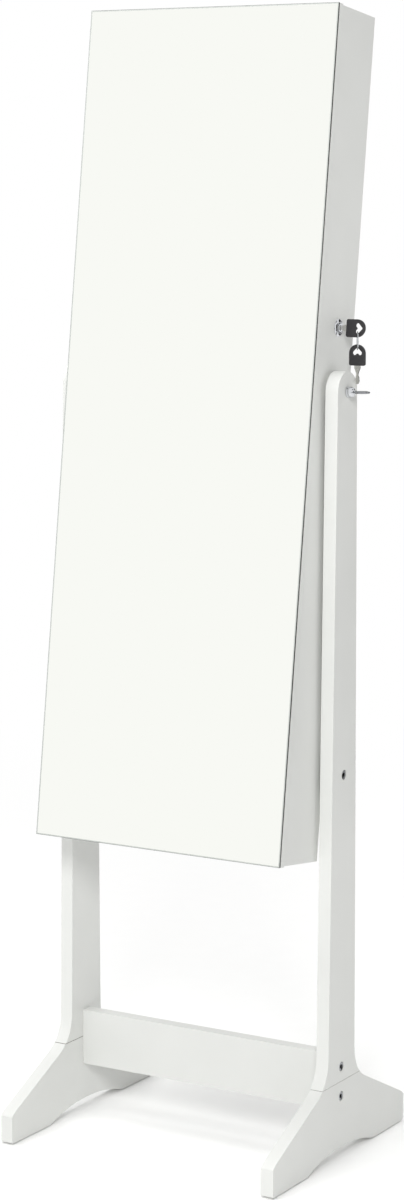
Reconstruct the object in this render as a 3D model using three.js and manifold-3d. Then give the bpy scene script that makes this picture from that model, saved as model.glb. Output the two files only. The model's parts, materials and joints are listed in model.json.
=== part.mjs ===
// A tilting floor mirror whose frame is a shallow lockable jewellery cabinet.
// Units are millimetres, +Z is up, -Y is the side one stands at, +X is to that person's right.
import * as THREE from 'three';
import { mergeVertices } from 'three/addons/utils/BufferGeometryUtils.js';
import Module from 'manifold-3d';

const wasm = await Module();
wasm.setup();

// Clearances shared by everything that fits
const GAP = 0.3;             // between two pieces that touch
const CUT_OVERRUN = 2;       // how far a cutting tool runs past the face that it enters
const MERGE = 1;             // how far two shapes of one solid run into each other

// Boards of the stand
const BOARD = 18;            // uprights, feet and rails
const PIVOT_HEIGHT = 1011;
const TOP_RADIUS = 26;       // half-round top of an upright, centred on the pivot
const TAPER = 0.0118;        // how much each edge of an upright spreads per millimetre downwards
const SEAM_HEIGHT = 105.5;   // where an upright stands on its foot
const FLARE_TOP = 145;       // where the upright's edge starts to sweep into the foot

// Feet
const FOOT_LENGTH = 363;
const TOE_HEIGHT = 38;
const TOE_ROUND = 18;        // length of the rounding behind the toe's upright end
const SLOPE = 0.476;         // fall of a foot's top edge per millimetre outwards
const SLOPE_AT_TOE = 41;     // height of that slope's line above the floor at the toe
const SWEEP_END = 68;        // distance from the middle where the sweep meets the slope
const ARCH_LENGTH = 184;
const ARCH_HEIGHT = 15;
const ARCH_SHOULDER = { out: 0.75, up: 0.45, in: 0.5 };   // shares of the arch that shape its curve
const GLIDE_HEIGHT = 2;
const GLIDE_LENGTH = 40;
const GLIDE_WIDTH = 13;
const GLIDE_INSET = 8;

// Rails and their bolts
const LOWER_RAIL_HEIGHT = 76;
const UPPER_RAIL_HEIGHT = 58;
const UPPER_RAIL_MIDDLE = 515;
const BOLT_OFFSET = 20;      // the lower rail's bolts above and below the seam
const BOLT_RADIUS = 3;
const BOLT_HEAD_RADIUS = 6;
const BOLT_HEAD_HEIGHT = 6;
const BOLT_SINK = 2.5;       // how deep a bolt's head lies below the board's face
const BOLT_TIP = 1;          // how far a bolt runs past its barrel nut
const SOCKET_RADIUS = 2.9;
const SOCKET_DEPTH = 3.5;
const NUT_RADIUS = 5;
const NUT_LENGTH = 14;
const NUT_INSET = 30;        // a barrel nut's distance from the rail's end
const DOWEL_RADIUS = 4;
const DOWEL_REACH = 17;      // how far a dowel goes into each board
const DOWEL_OFFSET = 25;

// Cabinet, measured along its own depth and height
const MIRROR_WIDTH = 371;
const SIDE_CLEARANCE = 5;    // between the mirror's edge and an upright
const MIRROR_HEIGHT = 1094;
const PIVOT_DEPTH = 51.6;    // the pivot behind the mirror's face
const PIVOT_RISE = 607.5;    // the pivot above the mirror's lower edge
const CABINET_DEPTH = 102;   // from the mirror's face to the back
const GLASS = 3;
const DOOR_BOARD = 9;
const DOOR_SEAM = 1.2;
const DOOR_OVERHANG = 1;     // how far the door stands past the cabinet's box all round
const WALL = 12;
const BACK_BOARD = 4;
const BACK_INSET = 3;
const SHELF = 9;
const SHELF_SETBACK = 8;
const UPPER_SHELF_HEIGHT = 14;    // a shelf's middle, above or below the pivot
const LOWER_SHELF_HEIGHT = -240;

// Fittings inside the cabinet
const HOOK_RAIL_DROP = 45;
const HOOK_RAIL_MARGIN = 22; // from the rail's end to a side panel
const HOOK_RAIL_HEIGHT = 16;
const HOOK_RAIL_DEPTH = 4;
const HOOK_COUNT = 9;
const HOOK_WIDTH = 4;
const HOOK_REACH = 14;
const HOOK_ARM = { bottom: -2, top: 1 };
const HOOK_TIP = { height: 5, width: 2, root: 3 };
const RACK_MARGIN = 37;
const RACK_HEIGHT = 90;
const RACK_THICK = 3;
const RACK_BOTTOM = 130;
const RACK_STANDOFF = 16;
const RACK_FOOT = 6;
const RACK_FOOT_INSET = 2;
const RACK_ROWS = 3;
const RACK_SLOTS = 12;
const SLOT_WIDTH = 3;
const SLOT_HEIGHT = 14;
const CUSHION_HEIGHT = 26;
const CUSHION_SIDE_GAP = 14;
const CUSHION_ROLLS = 4;

// Pivots
const PIVOT_RADIUS = 4;
const SPACER_RADIUS = 11;
const INSERT_RADIUS = 6.5;
const PIVOT_HEAD_RADIUS = 8;
const PIVOT_HEAD_HEIGHT = 5;
const COLLAR_RADIUS = 7;
const COLLAR_LENGTH = 10;
// The collar's turned outline, as shares of its radius and length
const COLLAR_PROFILE = [[0, 0], [0.86, 0], [1, 0.1], [1, 0.45], [0.82, 0.75], [0.45, 1], [0, 1]];
const FINGER_RING_RADIUS = 9;
const FINGER_RING_WIRE = 1.35;
const FINGER_NECK_RADIUS = 2.2;

// Door hinges
const HINGE_LENGTH = 50;
const HINGE_LEAF = 1;
const HINGE_LEAF_WIDTH = 12;
const HINGE_RADIUS = 3;
const HINGE_PIN = 1.3;
const HINGE_CAP_RADIUS = 2.4;
const HINGE_CAP = 1.2;
const HINGE_OUTSET = 3.5;    // the hinge's axis beyond the door's edge
const HINGE_HEIGHTS = { upper: 400, lower: -500 };

// Lock and keys
const LOCK_RISE = 81.7;      // above the pivot
const LOCK_DEPTH = 8.4;      // behind the pivot
const FLANGE_RADIUS = 11.5;
const FLANGE_THICK = 2.2;
const BARREL_RADIUS = 9;
const BARREL_LENGTH = 20;
const PLUG_RADIUS = 5.5;
const PLUG_STUB_RADIUS = 4;  // where the cam sits on it
const PLUG_STEP = 0.6;       // how far the plug stands out of the flange
const LOCK_NUT_RADIUS = 12.5;
const LOCK_NUT_THICK = 4;
const CAM_THICK = 2;
const CAM_REACH = 40;
const CAM_WIDTH = 10;
const CAM_HOOK = 16;
const CAM_HOOK_HEIGHT = 6;
const CAM_HUB_RADIUS = 7;
const CAM_CLEARANCE = 1;     // between the hook and the staple's cross bar
const STRIKE_THICK = 2;
const STRIKE_INNER_WIDTH = 12;
const STRIKE_BAR_DROP = 11;
const STRIKE_BAR_HEIGHT = 3;
const STRIKE_FOOT_THICK = 1;
const STRIKE_FOOT_HEIGHT = 14;
const KEY_HEAD_LENGTH = 27;
const KEY_HEAD_WIDTH = 23;
const KEY_HEAD_THICK = 2.4;
const KEY_BLADE_WIDTH = 6;
const KEY_BLADE_THICK = 1.8;
const KEY_BLADE_LENGTH = 16;      // the part of the blade that goes into the lock
const KEY_ROOT = 4;               // how deep the blade sits in the head
// Shares of the blade's length and half width where its edge narrows, swells and ends
const KEY_BLADE_SHARES = {
  narrows: 0.3, waist: 0.5, swells: 0.68, point: 0.86, waistWidth: 0.2, tipWidth: 0.4,
};
const KEY_HOLE_RADIUS = 2.6;
const KEY_HOLE_SPREAD = 3.8;
const KEY_HOLE_SWEEP = 3.6;
const KEY_HOLE_RIM = 4.6;    // material between the hole and the head's round end
const KEY_RING_RADIUS = 11.5;
const KEY_RING_WIRE = 0.75;
const KEY_RING_PLAY = 2.2;   // from a hole's edge to the middle of the ring's wire
const SPARE_KEY_GAP = 1;     // between the hanging key's blade and the upright beside it
const KEY_RING_TURN = 31;    // degrees that the ring's plane is turned about the vertical
const MAGNET_SIZE = new THREE.Vector3(12, 30, 12);
const MAGNET_PLATE_THICK = 1.5;
const MAGNET_HEIGHT = -440;

const ROUND = 28;            // sides of a large round piece
const SMALL_ROUND = 16;

// Colours
const WHITE = { color: 0xf1f0ee, roughness: 0.45, metalness: 0 };
const CHROME = { color: 0xd8d9db, roughness: 0.12, metalness: 1 };
const STEEL = { color: 0xa9abae, roughness: 0.35, metalness: 1 };
const BLACK = { color: 0x1d1c1e, roughness: 0.45, metalness: 0 };
const GLASS_LOOK = { color: 0xf4f6f6, roughness: 0.03, metalness: 1 };
const BEECH = { color: 0xcfae82, roughness: 0.7, metalness: 0 };
const CLEAR = { color: 0xe9e9e6, roughness: 0.4, metalness: 0 };
const VELVET = { color: 0x201f22, roughness: 0.95, metalness: 0 };

// Derived places
const FACE_X = MIRROR_WIDTH / 2 + SIDE_CLEARANCE;     // an upright's inner face
const OUTER_X = FACE_X + BOARD;                       // its outer face
const BOARD_X = FACE_X + BOARD / 2;                   // its middle
const HALF_FOOT = FOOT_LENGTH / 2;
const NUT_X = FACE_X - NUT_INSET;                     // a barrel nut's middle
const BOLT_END = NUT_X - NUT_RADIUS - BOLT_TIP;
const MIRROR_FRONT = -PIVOT_DEPTH;
const DOOR_FRONT = MIRROR_FRONT + GLASS + GAP;
const DOOR_BACK = DOOR_FRONT + DOOR_BOARD;
const BOX_FRONT = DOOR_BACK + DOOR_SEAM;
const BOX_BACK = MIRROR_FRONT + CABINET_DEPTH;
const RAIL_DROP = PIVOT_HEIGHT - UPPER_RAIL_MIDDLE - UPPER_RAIL_HEIGHT / 2;
// The cabinet leans its back on the upper rail's front edge, and that sets its tilt
const TILT = Math.asin((BOX_BACK + GAP) / Math.hypot(RAIL_DROP, BOARD / 2))
  + Math.atan2(BOARD / 2, RAIL_DROP);
const DOOR_BOTTOM = -PIVOT_RISE;
const DOOR_TOP = DOOR_BOTTOM + MIRROR_HEIGHT;
const BOX_BOTTOM = DOOR_BOTTOM + DOOR_OVERHANG;
const BOX_TOP = DOOR_TOP - DOOR_OVERHANG;
const BOX_X = MIRROR_WIDTH / 2 - DOOR_OVERHANG;       // a side panel's outer face
const BOX_INSIDE_X = BOX_X - WALL;
const INSIDE_X = BOX_INSIDE_X - GAP;                  // half length of what stands between the sides
const BACK_FACE = BOX_BACK - BACK_INSET - BACK_BOARD; // the back panel's inner face
const COLLAR_END = OUTER_X + GAP + COLLAR_LENGTH;
const FINGER_RING_X = COLLAR_END + FINGER_RING_WIRE + FINGER_RING_RADIUS;
const REACH_RIGHT = FINGER_RING_X + FINGER_RING_RADIUS + FINGER_RING_WIRE;
const LOCK_FACE = BOX_X + GAP + FLANGE_THICK;
const PLUG_FACE = LOCK_FACE + PLUG_STEP;
const BARREL_END = BOX_X - BARREL_LENGTH;
const CAM_X = BARREL_END - GAP - CAM_THICK / 2;
const HINGE_X = -MIRROR_WIDTH / 2 - HINGE_OUTSET;
const HINGE_Y = (DOOR_BACK + BOX_FRONT) / 2;
const KEY_HOLE_TIP = KEY_HEAD_LENGTH - KEY_HOLE_RIM - KEY_HOLE_RADIUS;
// The ring hangs far enough out for the spare key's blade to pass the upright
const RING_X = OUTER_X + SPARE_KEY_GAP + KEY_BLADE_WIDTH / 2;
const KEY_HEAD_X = RING_X - KEY_HOLE_TIP + KEY_HOLE_SWEEP;    // where an inserted key's head starts
const KEY_SHANK = KEY_HEAD_X - PLUG_FACE;             // the blade's bare length outside the lock
const MAGNET_FRONT = DOOR_BACK + MAGNET_PLATE_THICK + 2 * GAP;

const degrees = THREE.MathUtils.degToRad;

// ---- solids: thin wrappers between three.js geometry and manifold-3d

function solid(geometry) {
  let bare = geometry.clone();
  bare.deleteAttribute('normal');
  bare.deleteAttribute('uv');
  bare = mergeVertices(bare);
  return new wasm.Manifold(new wasm.Mesh({
    numProp: 3,
    vertProperties: new Float32Array(bare.attributes.position.array),
    triVerts: new Uint32Array(bare.index.array),
  }));
}

function geometryOf(manifold) {
  const result = manifold.getMesh();
  const geometry = new THREE.BufferGeometry();
  geometry.setAttribute('position', new THREE.BufferAttribute(new Float32Array(result.vertProperties), 3));
  geometry.setIndex(new THREE.BufferAttribute(new Uint32Array(result.triVerts), 1));
  geometry.computeVertexNormals();
  return geometry;
}

function join(first, ...others) {
  return geometryOf(others.reduce((sum, other) => sum.add(solid(other)), solid(first)));
}

function cut(body, ...tools) {
  return geometryOf(tools.reduce((rest, tool) => rest.subtract(solid(tool)), solid(body)));
}

function span(x0, x1, y0, y1, z0, z1) {
  const box = new THREE.BoxGeometry(x1 - x0, y1 - y0, z1 - z0);
  return box.translate((x0 + x1) / 2, (y0 + y1) / 2, (z0 + z1) / 2);
}

// A rod along X, Y or Z from one coordinate to another, with its middle at (a, b) in the other two
function rod(axis, from, to, radius, a = 0, b = 0, sides = SMALL_ROUND) {
  const bar = new THREE.CylinderGeometry(radius, radius, to - from, sides);
  const middle = (from + to) / 2;
  if (axis === 'x') return bar.rotateZ(Math.PI / 2).translate(middle, a, b);
  if (axis === 'y') return bar.translate(a, middle, b);
  return bar.rotateX(Math.PI / 2).translate(a, b, middle);
}

function tube(axis, from, to, outer, inner, a = 0, b = 0, sides = SMALL_ROUND) {
  const bore = rod(axis, from - CUT_OVERRUN, to + CUT_OVERRUN, inner, a, b, sides);
  return cut(rod(axis, from, to, outer, a, b, sides), bore);
}

// An outline drawn in the Y-Z plane and given a thickness along X
function plateYZ(shape, x0, x1, curveSegments = 10) {
  const plate = new THREE.ExtrudeGeometry(shape, { depth: x1 - x0, bevelEnabled: false, curveSegments });
  return plate.rotateX(Math.PI / 2).rotateZ(Math.PI / 2).translate(x0, 0, 0);
}

// An outline drawn in the X-Z plane and given a thickness along Y about y = 0
function plateXZ(shape, thick, curveSegments = 8) {
  const plate = new THREE.ExtrudeGeometry(shape, { depth: thick, bevelEnabled: false, curveSegments });
  return plate.rotateX(Math.PI / 2).translate(0, thick / 2, 0);
}

function mesh(name, geometry, look) {
  const piece = new THREE.Mesh(geometry, new THREE.MeshStandardMaterial(look));
  piece.name = name;
  return piece;
}

// ---- stand

// Half depth of an upright at a height, before it sweeps into the foot
function uprightHalf(height) {
  return TOP_RADIUS + TAPER * (PIVOT_HEIGHT - height);
}

function slopeHeight(y) {
  return SLOPE_AT_TOE + SLOPE * (HALF_FOOT - y);
}

// The whole side of the stand in one outline: foot, sweep and upright
function sideOutline() {
  const low = uprightHalf(FLARE_TOP);
  const arch = ARCH_LENGTH / 2;
  const archTop = GLIDE_HEIGHT + ARCH_HEIGHT;
  const shoulder = arch * ARCH_SHOULDER.out;
  const shoulderTop = GLIDE_HEIGHT + ARCH_HEIGHT * ARCH_SHOULDER.up;
  const crown = arch * ARCH_SHOULDER.in;
  const shape = new THREE.Shape();
  shape.moveTo(HALF_FOOT, GLIDE_HEIGHT);
  shape.lineTo(HALF_FOOT, TOE_HEIGHT);
  shape.quadraticCurveTo(HALF_FOOT, SLOPE_AT_TOE, HALF_FOOT - TOE_ROUND, slopeHeight(HALF_FOOT - TOE_ROUND));
  shape.lineTo(SWEEP_END, slopeHeight(SWEEP_END));
  shape.quadraticCurveTo(low, slopeHeight(low), low, FLARE_TOP);
  shape.lineTo(TOP_RADIUS, PIVOT_HEIGHT);
  shape.absarc(0, PIVOT_HEIGHT, TOP_RADIUS, 0, Math.PI, false);
  shape.lineTo(-low, FLARE_TOP);
  shape.quadraticCurveTo(-low, slopeHeight(low), -SWEEP_END, slopeHeight(SWEEP_END));
  shape.lineTo(TOE_ROUND - HALF_FOOT, slopeHeight(HALF_FOOT - TOE_ROUND));
  shape.quadraticCurveTo(-HALF_FOOT, SLOPE_AT_TOE, -HALF_FOOT, TOE_HEIGHT);
  shape.lineTo(-HALF_FOOT, GLIDE_HEIGHT);
  shape.lineTo(-arch, GLIDE_HEIGHT);
  shape.bezierCurveTo(-shoulder, shoulderTop, -crown, archTop, 0, archTop);
  shape.bezierCurveTo(crown, archTop, shoulder, shoulderTop, arch, GLIDE_HEIGHT);
  shape.closePath();
  return shape;
}

function sideBlank() {
  return plateYZ(sideOutline(), FACE_X, OUTER_X, 12);
}

// A stepped hole for a recessed bolt, entered from the board's outer face
function boltRecess(height) {
  const head = rod('x', OUTER_X - BOLT_SINK - BOLT_HEAD_HEIGHT - GAP, OUTER_X + CUT_OVERRUN,
    BOLT_HEAD_RADIUS + 2 * GAP, 0, height);
  const shaft = rod('x', FACE_X - CUT_OVERRUN, OUTER_X, BOLT_RADIUS + GAP, 0, height);
  return [head, shaft];
}

function dowelHoles() {
  const reach = DOWEL_REACH + GAP;
  return [-1, 1].map((side) => rod('z', SEAM_HEIGHT - reach, SEAM_HEIGHT + reach,
    DOWEL_RADIUS + GAP, BOARD_X, side * DOWEL_OFFSET));
}

// A tool that takes away everything of a stand's side between two heights
function sideSlab(z0, z1) {
  const y = HALF_FOOT + CUT_OVERRUN;
  return span(FACE_X - CUT_OVERRUN, OUTER_X + CUT_OVERRUN, -y, y, z0, z1);
}

function upright(pivotHole) {
  const below = sideSlab(-CUT_OVERRUN, SEAM_HEIGHT + GAP);
  const bolts = [UPPER_RAIL_MIDDLE, SEAM_HEIGHT + BOLT_OFFSET].flatMap(boltRecess);
  return cut(sideBlank(), below, ...bolts, ...dowelHoles(), ...pivotHole);
}

function foot() {
  const above = sideSlab(SEAM_HEIGHT, PIVOT_HEIGHT + TOP_RADIUS + CUT_OVERRUN);
  return cut(sideBlank(), above, ...boltRecess(SEAM_HEIGHT - BOLT_OFFSET), ...dowelHoles());
}

function recessedBolt(height, radius, headRadius, headHeight, sink, end) {
  const top = OUTER_X - sink;
  const head = rod('x', top - headHeight, top, headRadius, 0, height);
  const shaft = rod('x', end, top - headHeight + MERGE, radius, 0, height);
  const socket = rod('x', top - SOCKET_DEPTH, top + CUT_OVERRUN, SOCKET_RADIUS, 0, height, 6);
  return cut(join(head, shaft), socket);
}

function railBolt(height) {
  return recessedBolt(height, BOLT_RADIUS, BOLT_HEAD_RADIUS, BOLT_HEAD_HEIGHT, BOLT_SINK, BOLT_END);
}

function barrelNut(height) {
  const body = rod('y', -NUT_LENGTH / 2, NUT_LENGTH / 2, NUT_RADIUS, NUT_X, height);
  const bore = rod('x', BOLT_END, NUT_X + NUT_RADIUS + CUT_OVERRUN, BOLT_RADIUS + GAP, 0, height);
  return cut(body, bore);
}

// A rail with, at both ends, a bolt hole and a barrel-nut hole drilled from the back for each height
function rail(middle, height, boltHeights) {
  const end = FACE_X - GAP;
  const body = span(-end, end, -BOARD / 2, BOARD / 2, middle - height / 2, middle + height / 2);
  const holes = boltHeights.flatMap((z) => [-1, 1].flatMap((side) => {
    const inner = side * (BOLT_END - GAP);
    const outer = side * (end + CUT_OVERRUN);
    const bolt = rod('x', Math.min(inner, outer), Math.max(inner, outer), BOLT_RADIUS + GAP, 0, z);
    const nut = rod('y', -NUT_LENGTH / 2 - GAP, BOARD / 2 + CUT_OVERRUN, NUT_RADIUS + GAP,
      side * NUT_X, z);
    return [bolt, nut];
  }));
  return cut(body, ...holes);
}

function dowel(y) {
  return rod('z', SEAM_HEIGHT - DOWEL_REACH, SEAM_HEIGHT + DOWEL_REACH, DOWEL_RADIUS, BOARD_X, y);
}

function glide(end) {
  const outline = new THREE.Shape();
  const half = GLIDE_WIDTH / 2;
  const run = GLIDE_LENGTH / 2 - half;
  outline.absarc(0, run, half, 0, Math.PI, false);
  outline.absarc(0, -run, half, Math.PI, 2 * Math.PI, false);
  outline.closePath();
  const depth = GLIDE_HEIGHT - GAP;
  const pad = new THREE.ExtrudeGeometry(outline, { depth, bevelEnabled: false, curveSegments: 8 });
  return pad.translate(BOARD_X, end * (HALF_FOOT - GLIDE_INSET - GLIDE_LENGTH / 2), 0);
}

// One side of the stand, drawn on the right; the left one is this turned half round about Z
function standSide(side, pivotHole) {
  const group = new THREE.Group();
  const ends = side === 'right' ? { front: -1, rear: 1 } : { front: 1, rear: -1 };
  group.add(mesh(`${side}_upright`, upright(pivotHole), WHITE));
  group.add(mesh(`${side}_foot`, foot(), WHITE));
  const bolts = {
    upper_rail: UPPER_RAIL_MIDDLE,
    lower_rail_top: SEAM_HEIGHT + BOLT_OFFSET,
    lower_rail_bottom: SEAM_HEIGHT - BOLT_OFFSET,
  };
  for (const [place, height] of Object.entries(bolts)) {
    group.add(mesh(`${side}_${place}_bolt`, railBolt(height), STEEL));
    group.add(mesh(`${side}_${place}_barrel_nut`, barrelNut(height), STEEL));
  }
  for (const [place, end] of Object.entries(ends)) {
    group.add(mesh(`${side}_${place}_dowel`, dowel(end * DOWEL_OFFSET), BEECH));
    group.add(mesh(`${side}_${place}_glide`, glide(end), CLEAR));
  }
  const hole = PIVOT_RADIUS + GAP;
  const spacer = tube('x', BOX_X + GAP, FACE_X - GAP, SPACER_RADIUS, hole, 0, PIVOT_HEIGHT, ROUND);
  group.add(mesh(`${side}_pivot_spacer`, spacer, CLEAR));
  if (side === 'left') group.rotation.z = Math.PI;
  return group;
}

// ---- pivots

function plainPivotHole() {
  return [rod('x', FACE_X - CUT_OVERRUN, OUTER_X + CUT_OVERRUN, PIVOT_RADIUS + GAP, 0, PIVOT_HEIGHT)];
}

function steppedPivotHole() {
  const head = rod('x', OUTER_X - PIVOT_HEAD_HEIGHT - 2 * GAP, OUTER_X + CUT_OVERRUN,
    PIVOT_HEAD_RADIUS + GAP, 0, PIVOT_HEIGHT);
  return [head, ...plainPivotHole()];
}

function leftPivotBolt() {
  const bolt = recessedBolt(PIVOT_HEIGHT, PIVOT_RADIUS, PIVOT_HEAD_RADIUS, PIVOT_HEAD_HEIGHT, GAP,
    BOX_INSIDE_X);
  return bolt.rotateZ(Math.PI);
}

// The right pivot: a screw with a round collar and a finger ring, turned by hand to hold the tilt
function clampScrew() {
  const shaft = rod('x', BOX_INSIDE_X, OUTER_X + GAP + MERGE, PIVOT_RADIUS, 0, PIVOT_HEIGHT);
  const profile = COLLAR_PROFILE.map(([r, x]) => new THREE.Vector2(r * COLLAR_RADIUS, x * COLLAR_LENGTH));
  const turned = new THREE.LatheGeometry(profile, ROUND).rotateZ(-Math.PI / 2);
  const collar = turned.translate(OUTER_X + GAP, 0, PIVOT_HEIGHT);
  const neck = rod('x', COLLAR_END - MERGE, COLLAR_END + FINGER_RING_WIRE, FINGER_NECK_RADIUS, 0, PIVOT_HEIGHT);
  const ring = new THREE.TorusGeometry(FINGER_RING_RADIUS, FINGER_RING_WIRE, 8, ROUND);
  return join(shaft, collar, neck, ring.translate(FINGER_RING_X, 0, PIVOT_HEIGHT));
}

function insertNut() {
  return tube('x', BOX_INSIDE_X + GAP, BOX_X - GAP, INSERT_RADIUS, PIVOT_RADIUS + GAP);
}

// ---- cabinet, in its own upright frame with the pivot at the origin

function rightSidePanel() {
  const panel = span(BOX_INSIDE_X, BOX_X, BOX_FRONT, BOX_BACK, BOX_BOTTOM, BOX_TOP);
  const insert = rod('x', BOX_INSIDE_X - CUT_OVERRUN, BOX_X + CUT_OVERRUN, INSERT_RADIUS + GAP);
  const lock = rod('x', BOX_INSIDE_X - CUT_OVERRUN, BOX_X + CUT_OVERRUN, BARREL_RADIUS + GAP,
    LOCK_DEPTH, LOCK_RISE);
  return cut(panel, insert, lock);
}

function hingeRecessInSide(height) {
  const edge = BOX_X - HINGE_LEAF_WIDTH - GAP;
  const deep = BOX_FRONT + HINGE_LEAF;
  return span(-BOX_X - CUT_OVERRUN, -edge, BOX_FRONT - CUT_OVERRUN, deep,
    height - HINGE_LENGTH / 2 - GAP, height + HINGE_LENGTH / 2 + GAP);
}

function leftSidePanel() {
  const panel = span(-BOX_X, -BOX_INSIDE_X, BOX_FRONT, BOX_BACK, BOX_BOTTOM, BOX_TOP);
  const insert = rod('x', -BOX_X - CUT_OVERRUN, -BOX_INSIDE_X + CUT_OVERRUN, INSERT_RADIUS + GAP);
  return cut(panel, insert, ...Object.values(HINGE_HEIGHTS).map(hingeRecessInSide));
}

function crossPanel(z0, z1) {
  return span(-INSIDE_X, INSIDE_X, BOX_FRONT, BOX_BACK, z0, z1);
}

function backPanel() {
  return span(-INSIDE_X, INSIDE_X, BACK_FACE, BACK_FACE + BACK_BOARD,
    BOX_BOTTOM + WALL + GAP, BOX_TOP - WALL - GAP);
}

function shelf(middle) {
  return span(-INSIDE_X, INSIDE_X, BOX_FRONT + SHELF_SETBACK, BACK_FACE - GAP,
    middle - SHELF / 2, middle + SHELF / 2);
}

// One hook's side view: a short arm that rises to a blunt tip
function hookOutline() {
  const shape = new THREE.Shape();
  shape.moveTo(0, HOOK_ARM.bottom);
  shape.lineTo(-HOOK_REACH, HOOK_ARM.bottom);
  shape.lineTo(-HOOK_REACH, HOOK_TIP.height);
  shape.lineTo(HOOK_TIP.width - HOOK_REACH, HOOK_TIP.height);
  shape.lineTo(HOOK_TIP.root - HOOK_REACH, HOOK_ARM.top);
  shape.lineTo(0, HOOK_ARM.top);
  shape.closePath();
  return shape;
}

function necklaceHookRail() {
  const middle = BOX_TOP - WALL - HOOK_RAIL_DROP;
  const back = BACK_FACE - GAP;
  const front = back - HOOK_RAIL_DEPTH;
  const half = BOX_INSIDE_X - HOOK_RAIL_MARGIN;
  const strip = span(-half, half, front, back, middle - HOOK_RAIL_HEIGHT / 2, middle + HOOK_RAIL_HEIGHT / 2);
  const pitch = 2 * half / HOOK_COUNT;
  const hooks = Array.from({ length: HOOK_COUNT }, (_, i) => {
    const x = (i + 0.5) * pitch - half;
    return plateYZ(hookOutline(), x - HOOK_WIDTH / 2, x + HOOK_WIDTH / 2).translate(0, front + MERGE, middle);
  });
  return join(strip, ...hooks);
}

function earringRack() {
  const half = BOX_INSIDE_X - RACK_MARGIN;
  const front = BACK_FACE - RACK_STANDOFF;
  const plate = span(-half, half, front, front + RACK_THICK, RACK_BOTTOM, RACK_BOTTOM + RACK_HEIGHT);
  const feet = [RACK_FOOT_INSET - half, half - RACK_FOOT_INSET - RACK_FOOT].map((x) => span(x, x + RACK_FOOT,
    front + MERGE, BACK_FACE - GAP, RACK_BOTTOM, RACK_BOTTOM + RACK_HEIGHT));
  const columns = 2 * half / (RACK_SLOTS + 1);
  const rows = RACK_HEIGHT / RACK_ROWS;
  const slots = [];
  for (let row = 0; row < RACK_ROWS; row += 1) {
    for (let i = 1; i <= RACK_SLOTS; i += 1) {
      const x = i * columns - half;
      const z = RACK_BOTTOM + (row + 0.5) * rows;
      slots.push(span(x - SLOT_WIDTH / 2, x + SLOT_WIDTH / 2, front - CUT_OVERRUN,
        front + RACK_THICK + CUT_OVERRUN, z - SLOT_HEIGHT / 2, z + SLOT_HEIGHT / 2));
    }
  }
  return cut(join(plate, ...feet), ...slots);
}

// A padded block with long soft rolls side by side, which hold rings between them
function ringCushion() {
  const front = BOX_FRONT + SHELF_SETBACK + GAP;
  const back = BACK_FACE - CUSHION_SIDE_GAP;
  const base = UPPER_SHELF_HEIGHT + SHELF / 2 + GAP;
  const radius = (back - front) / CUSHION_ROLLS / 2;
  const shape = new THREE.Shape();
  shape.moveTo(back, base);
  shape.lineTo(back, base + CUSHION_HEIGHT - radius);
  for (let i = CUSHION_ROLLS - 1; i >= 0; i -= 1) {
    shape.absarc(front + (2 * i + 1) * radius, base + CUSHION_HEIGHT - radius, radius, 0, Math.PI, false);
  }
  shape.lineTo(front, base);
  shape.closePath();
  const half = INSIDE_X - CUSHION_SIDE_GAP;
  return plateYZ(shape, -half, half, 4);
}

// ---- door

function hingeRecessInDoor(height) {
  const edge = MIRROR_WIDTH / 2 - HINGE_LEAF_WIDTH - GAP;
  return span(-MIRROR_WIDTH / 2 - CUT_OVERRUN, -edge, DOOR_BACK - HINGE_LEAF, DOOR_BACK + CUT_OVERRUN,
    height - HINGE_LENGTH / 2 - GAP, height + HINGE_LENGTH / 2 + GAP);
}

function doorPanel() {
  const half = MIRROR_WIDTH / 2;
  const board = span(-half, half, DOOR_FRONT, DOOR_BACK, DOOR_BOTTOM, DOOR_TOP);
  return cut(board, ...Object.values(HINGE_HEIGHTS).map(hingeRecessInDoor));
}

function mirrorGlass() {
  const half = MIRROR_WIDTH / 2;
  return span(-half, half, MIRROR_FRONT, MIRROR_FRONT + GLASS, DOOR_BOTTOM, DOOR_TOP);
}

// Half of a butt hinge: a leaf and its share of the knuckle, the cabinet's in two and the door's in one
function hingeHalf(height, y0, y1, onDoor) {
  const third = HINGE_LENGTH / 6;
  const bottom = height - HINGE_LENGTH / 2;
  const top = height + HINGE_LENGTH / 2;
  const leafEnd = (onDoor ? -MIRROR_WIDTH / 2 : -BOX_X) + HINGE_LEAF_WIDTH;
  const knuckle = rod('z', bottom, top, HINGE_RADIUS, HINGE_X, HINGE_Y);
  const leaf = span(HINGE_X, leafEnd, y0, y1, bottom, top);
  const bore = rod('z', bottom - CUT_OVERRUN, top + CUT_OVERRUN, HINGE_PIN + GAP, HINGE_X, HINGE_Y);
  const reach = HINGE_RADIUS + GAP;
  const clear = (z0, z1) => span(HINGE_X - reach, HINGE_X + reach, HINGE_Y - reach, HINGE_Y + reach, z0, z1);
  const gaps = onDoor
    ? [clear(bottom - CUT_OVERRUN, height - third), clear(height + third, top + CUT_OVERRUN)]
    : [clear(height - third - GAP, height + third + GAP)];
  return cut(join(knuckle, leaf), bore, ...gaps);
}

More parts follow.
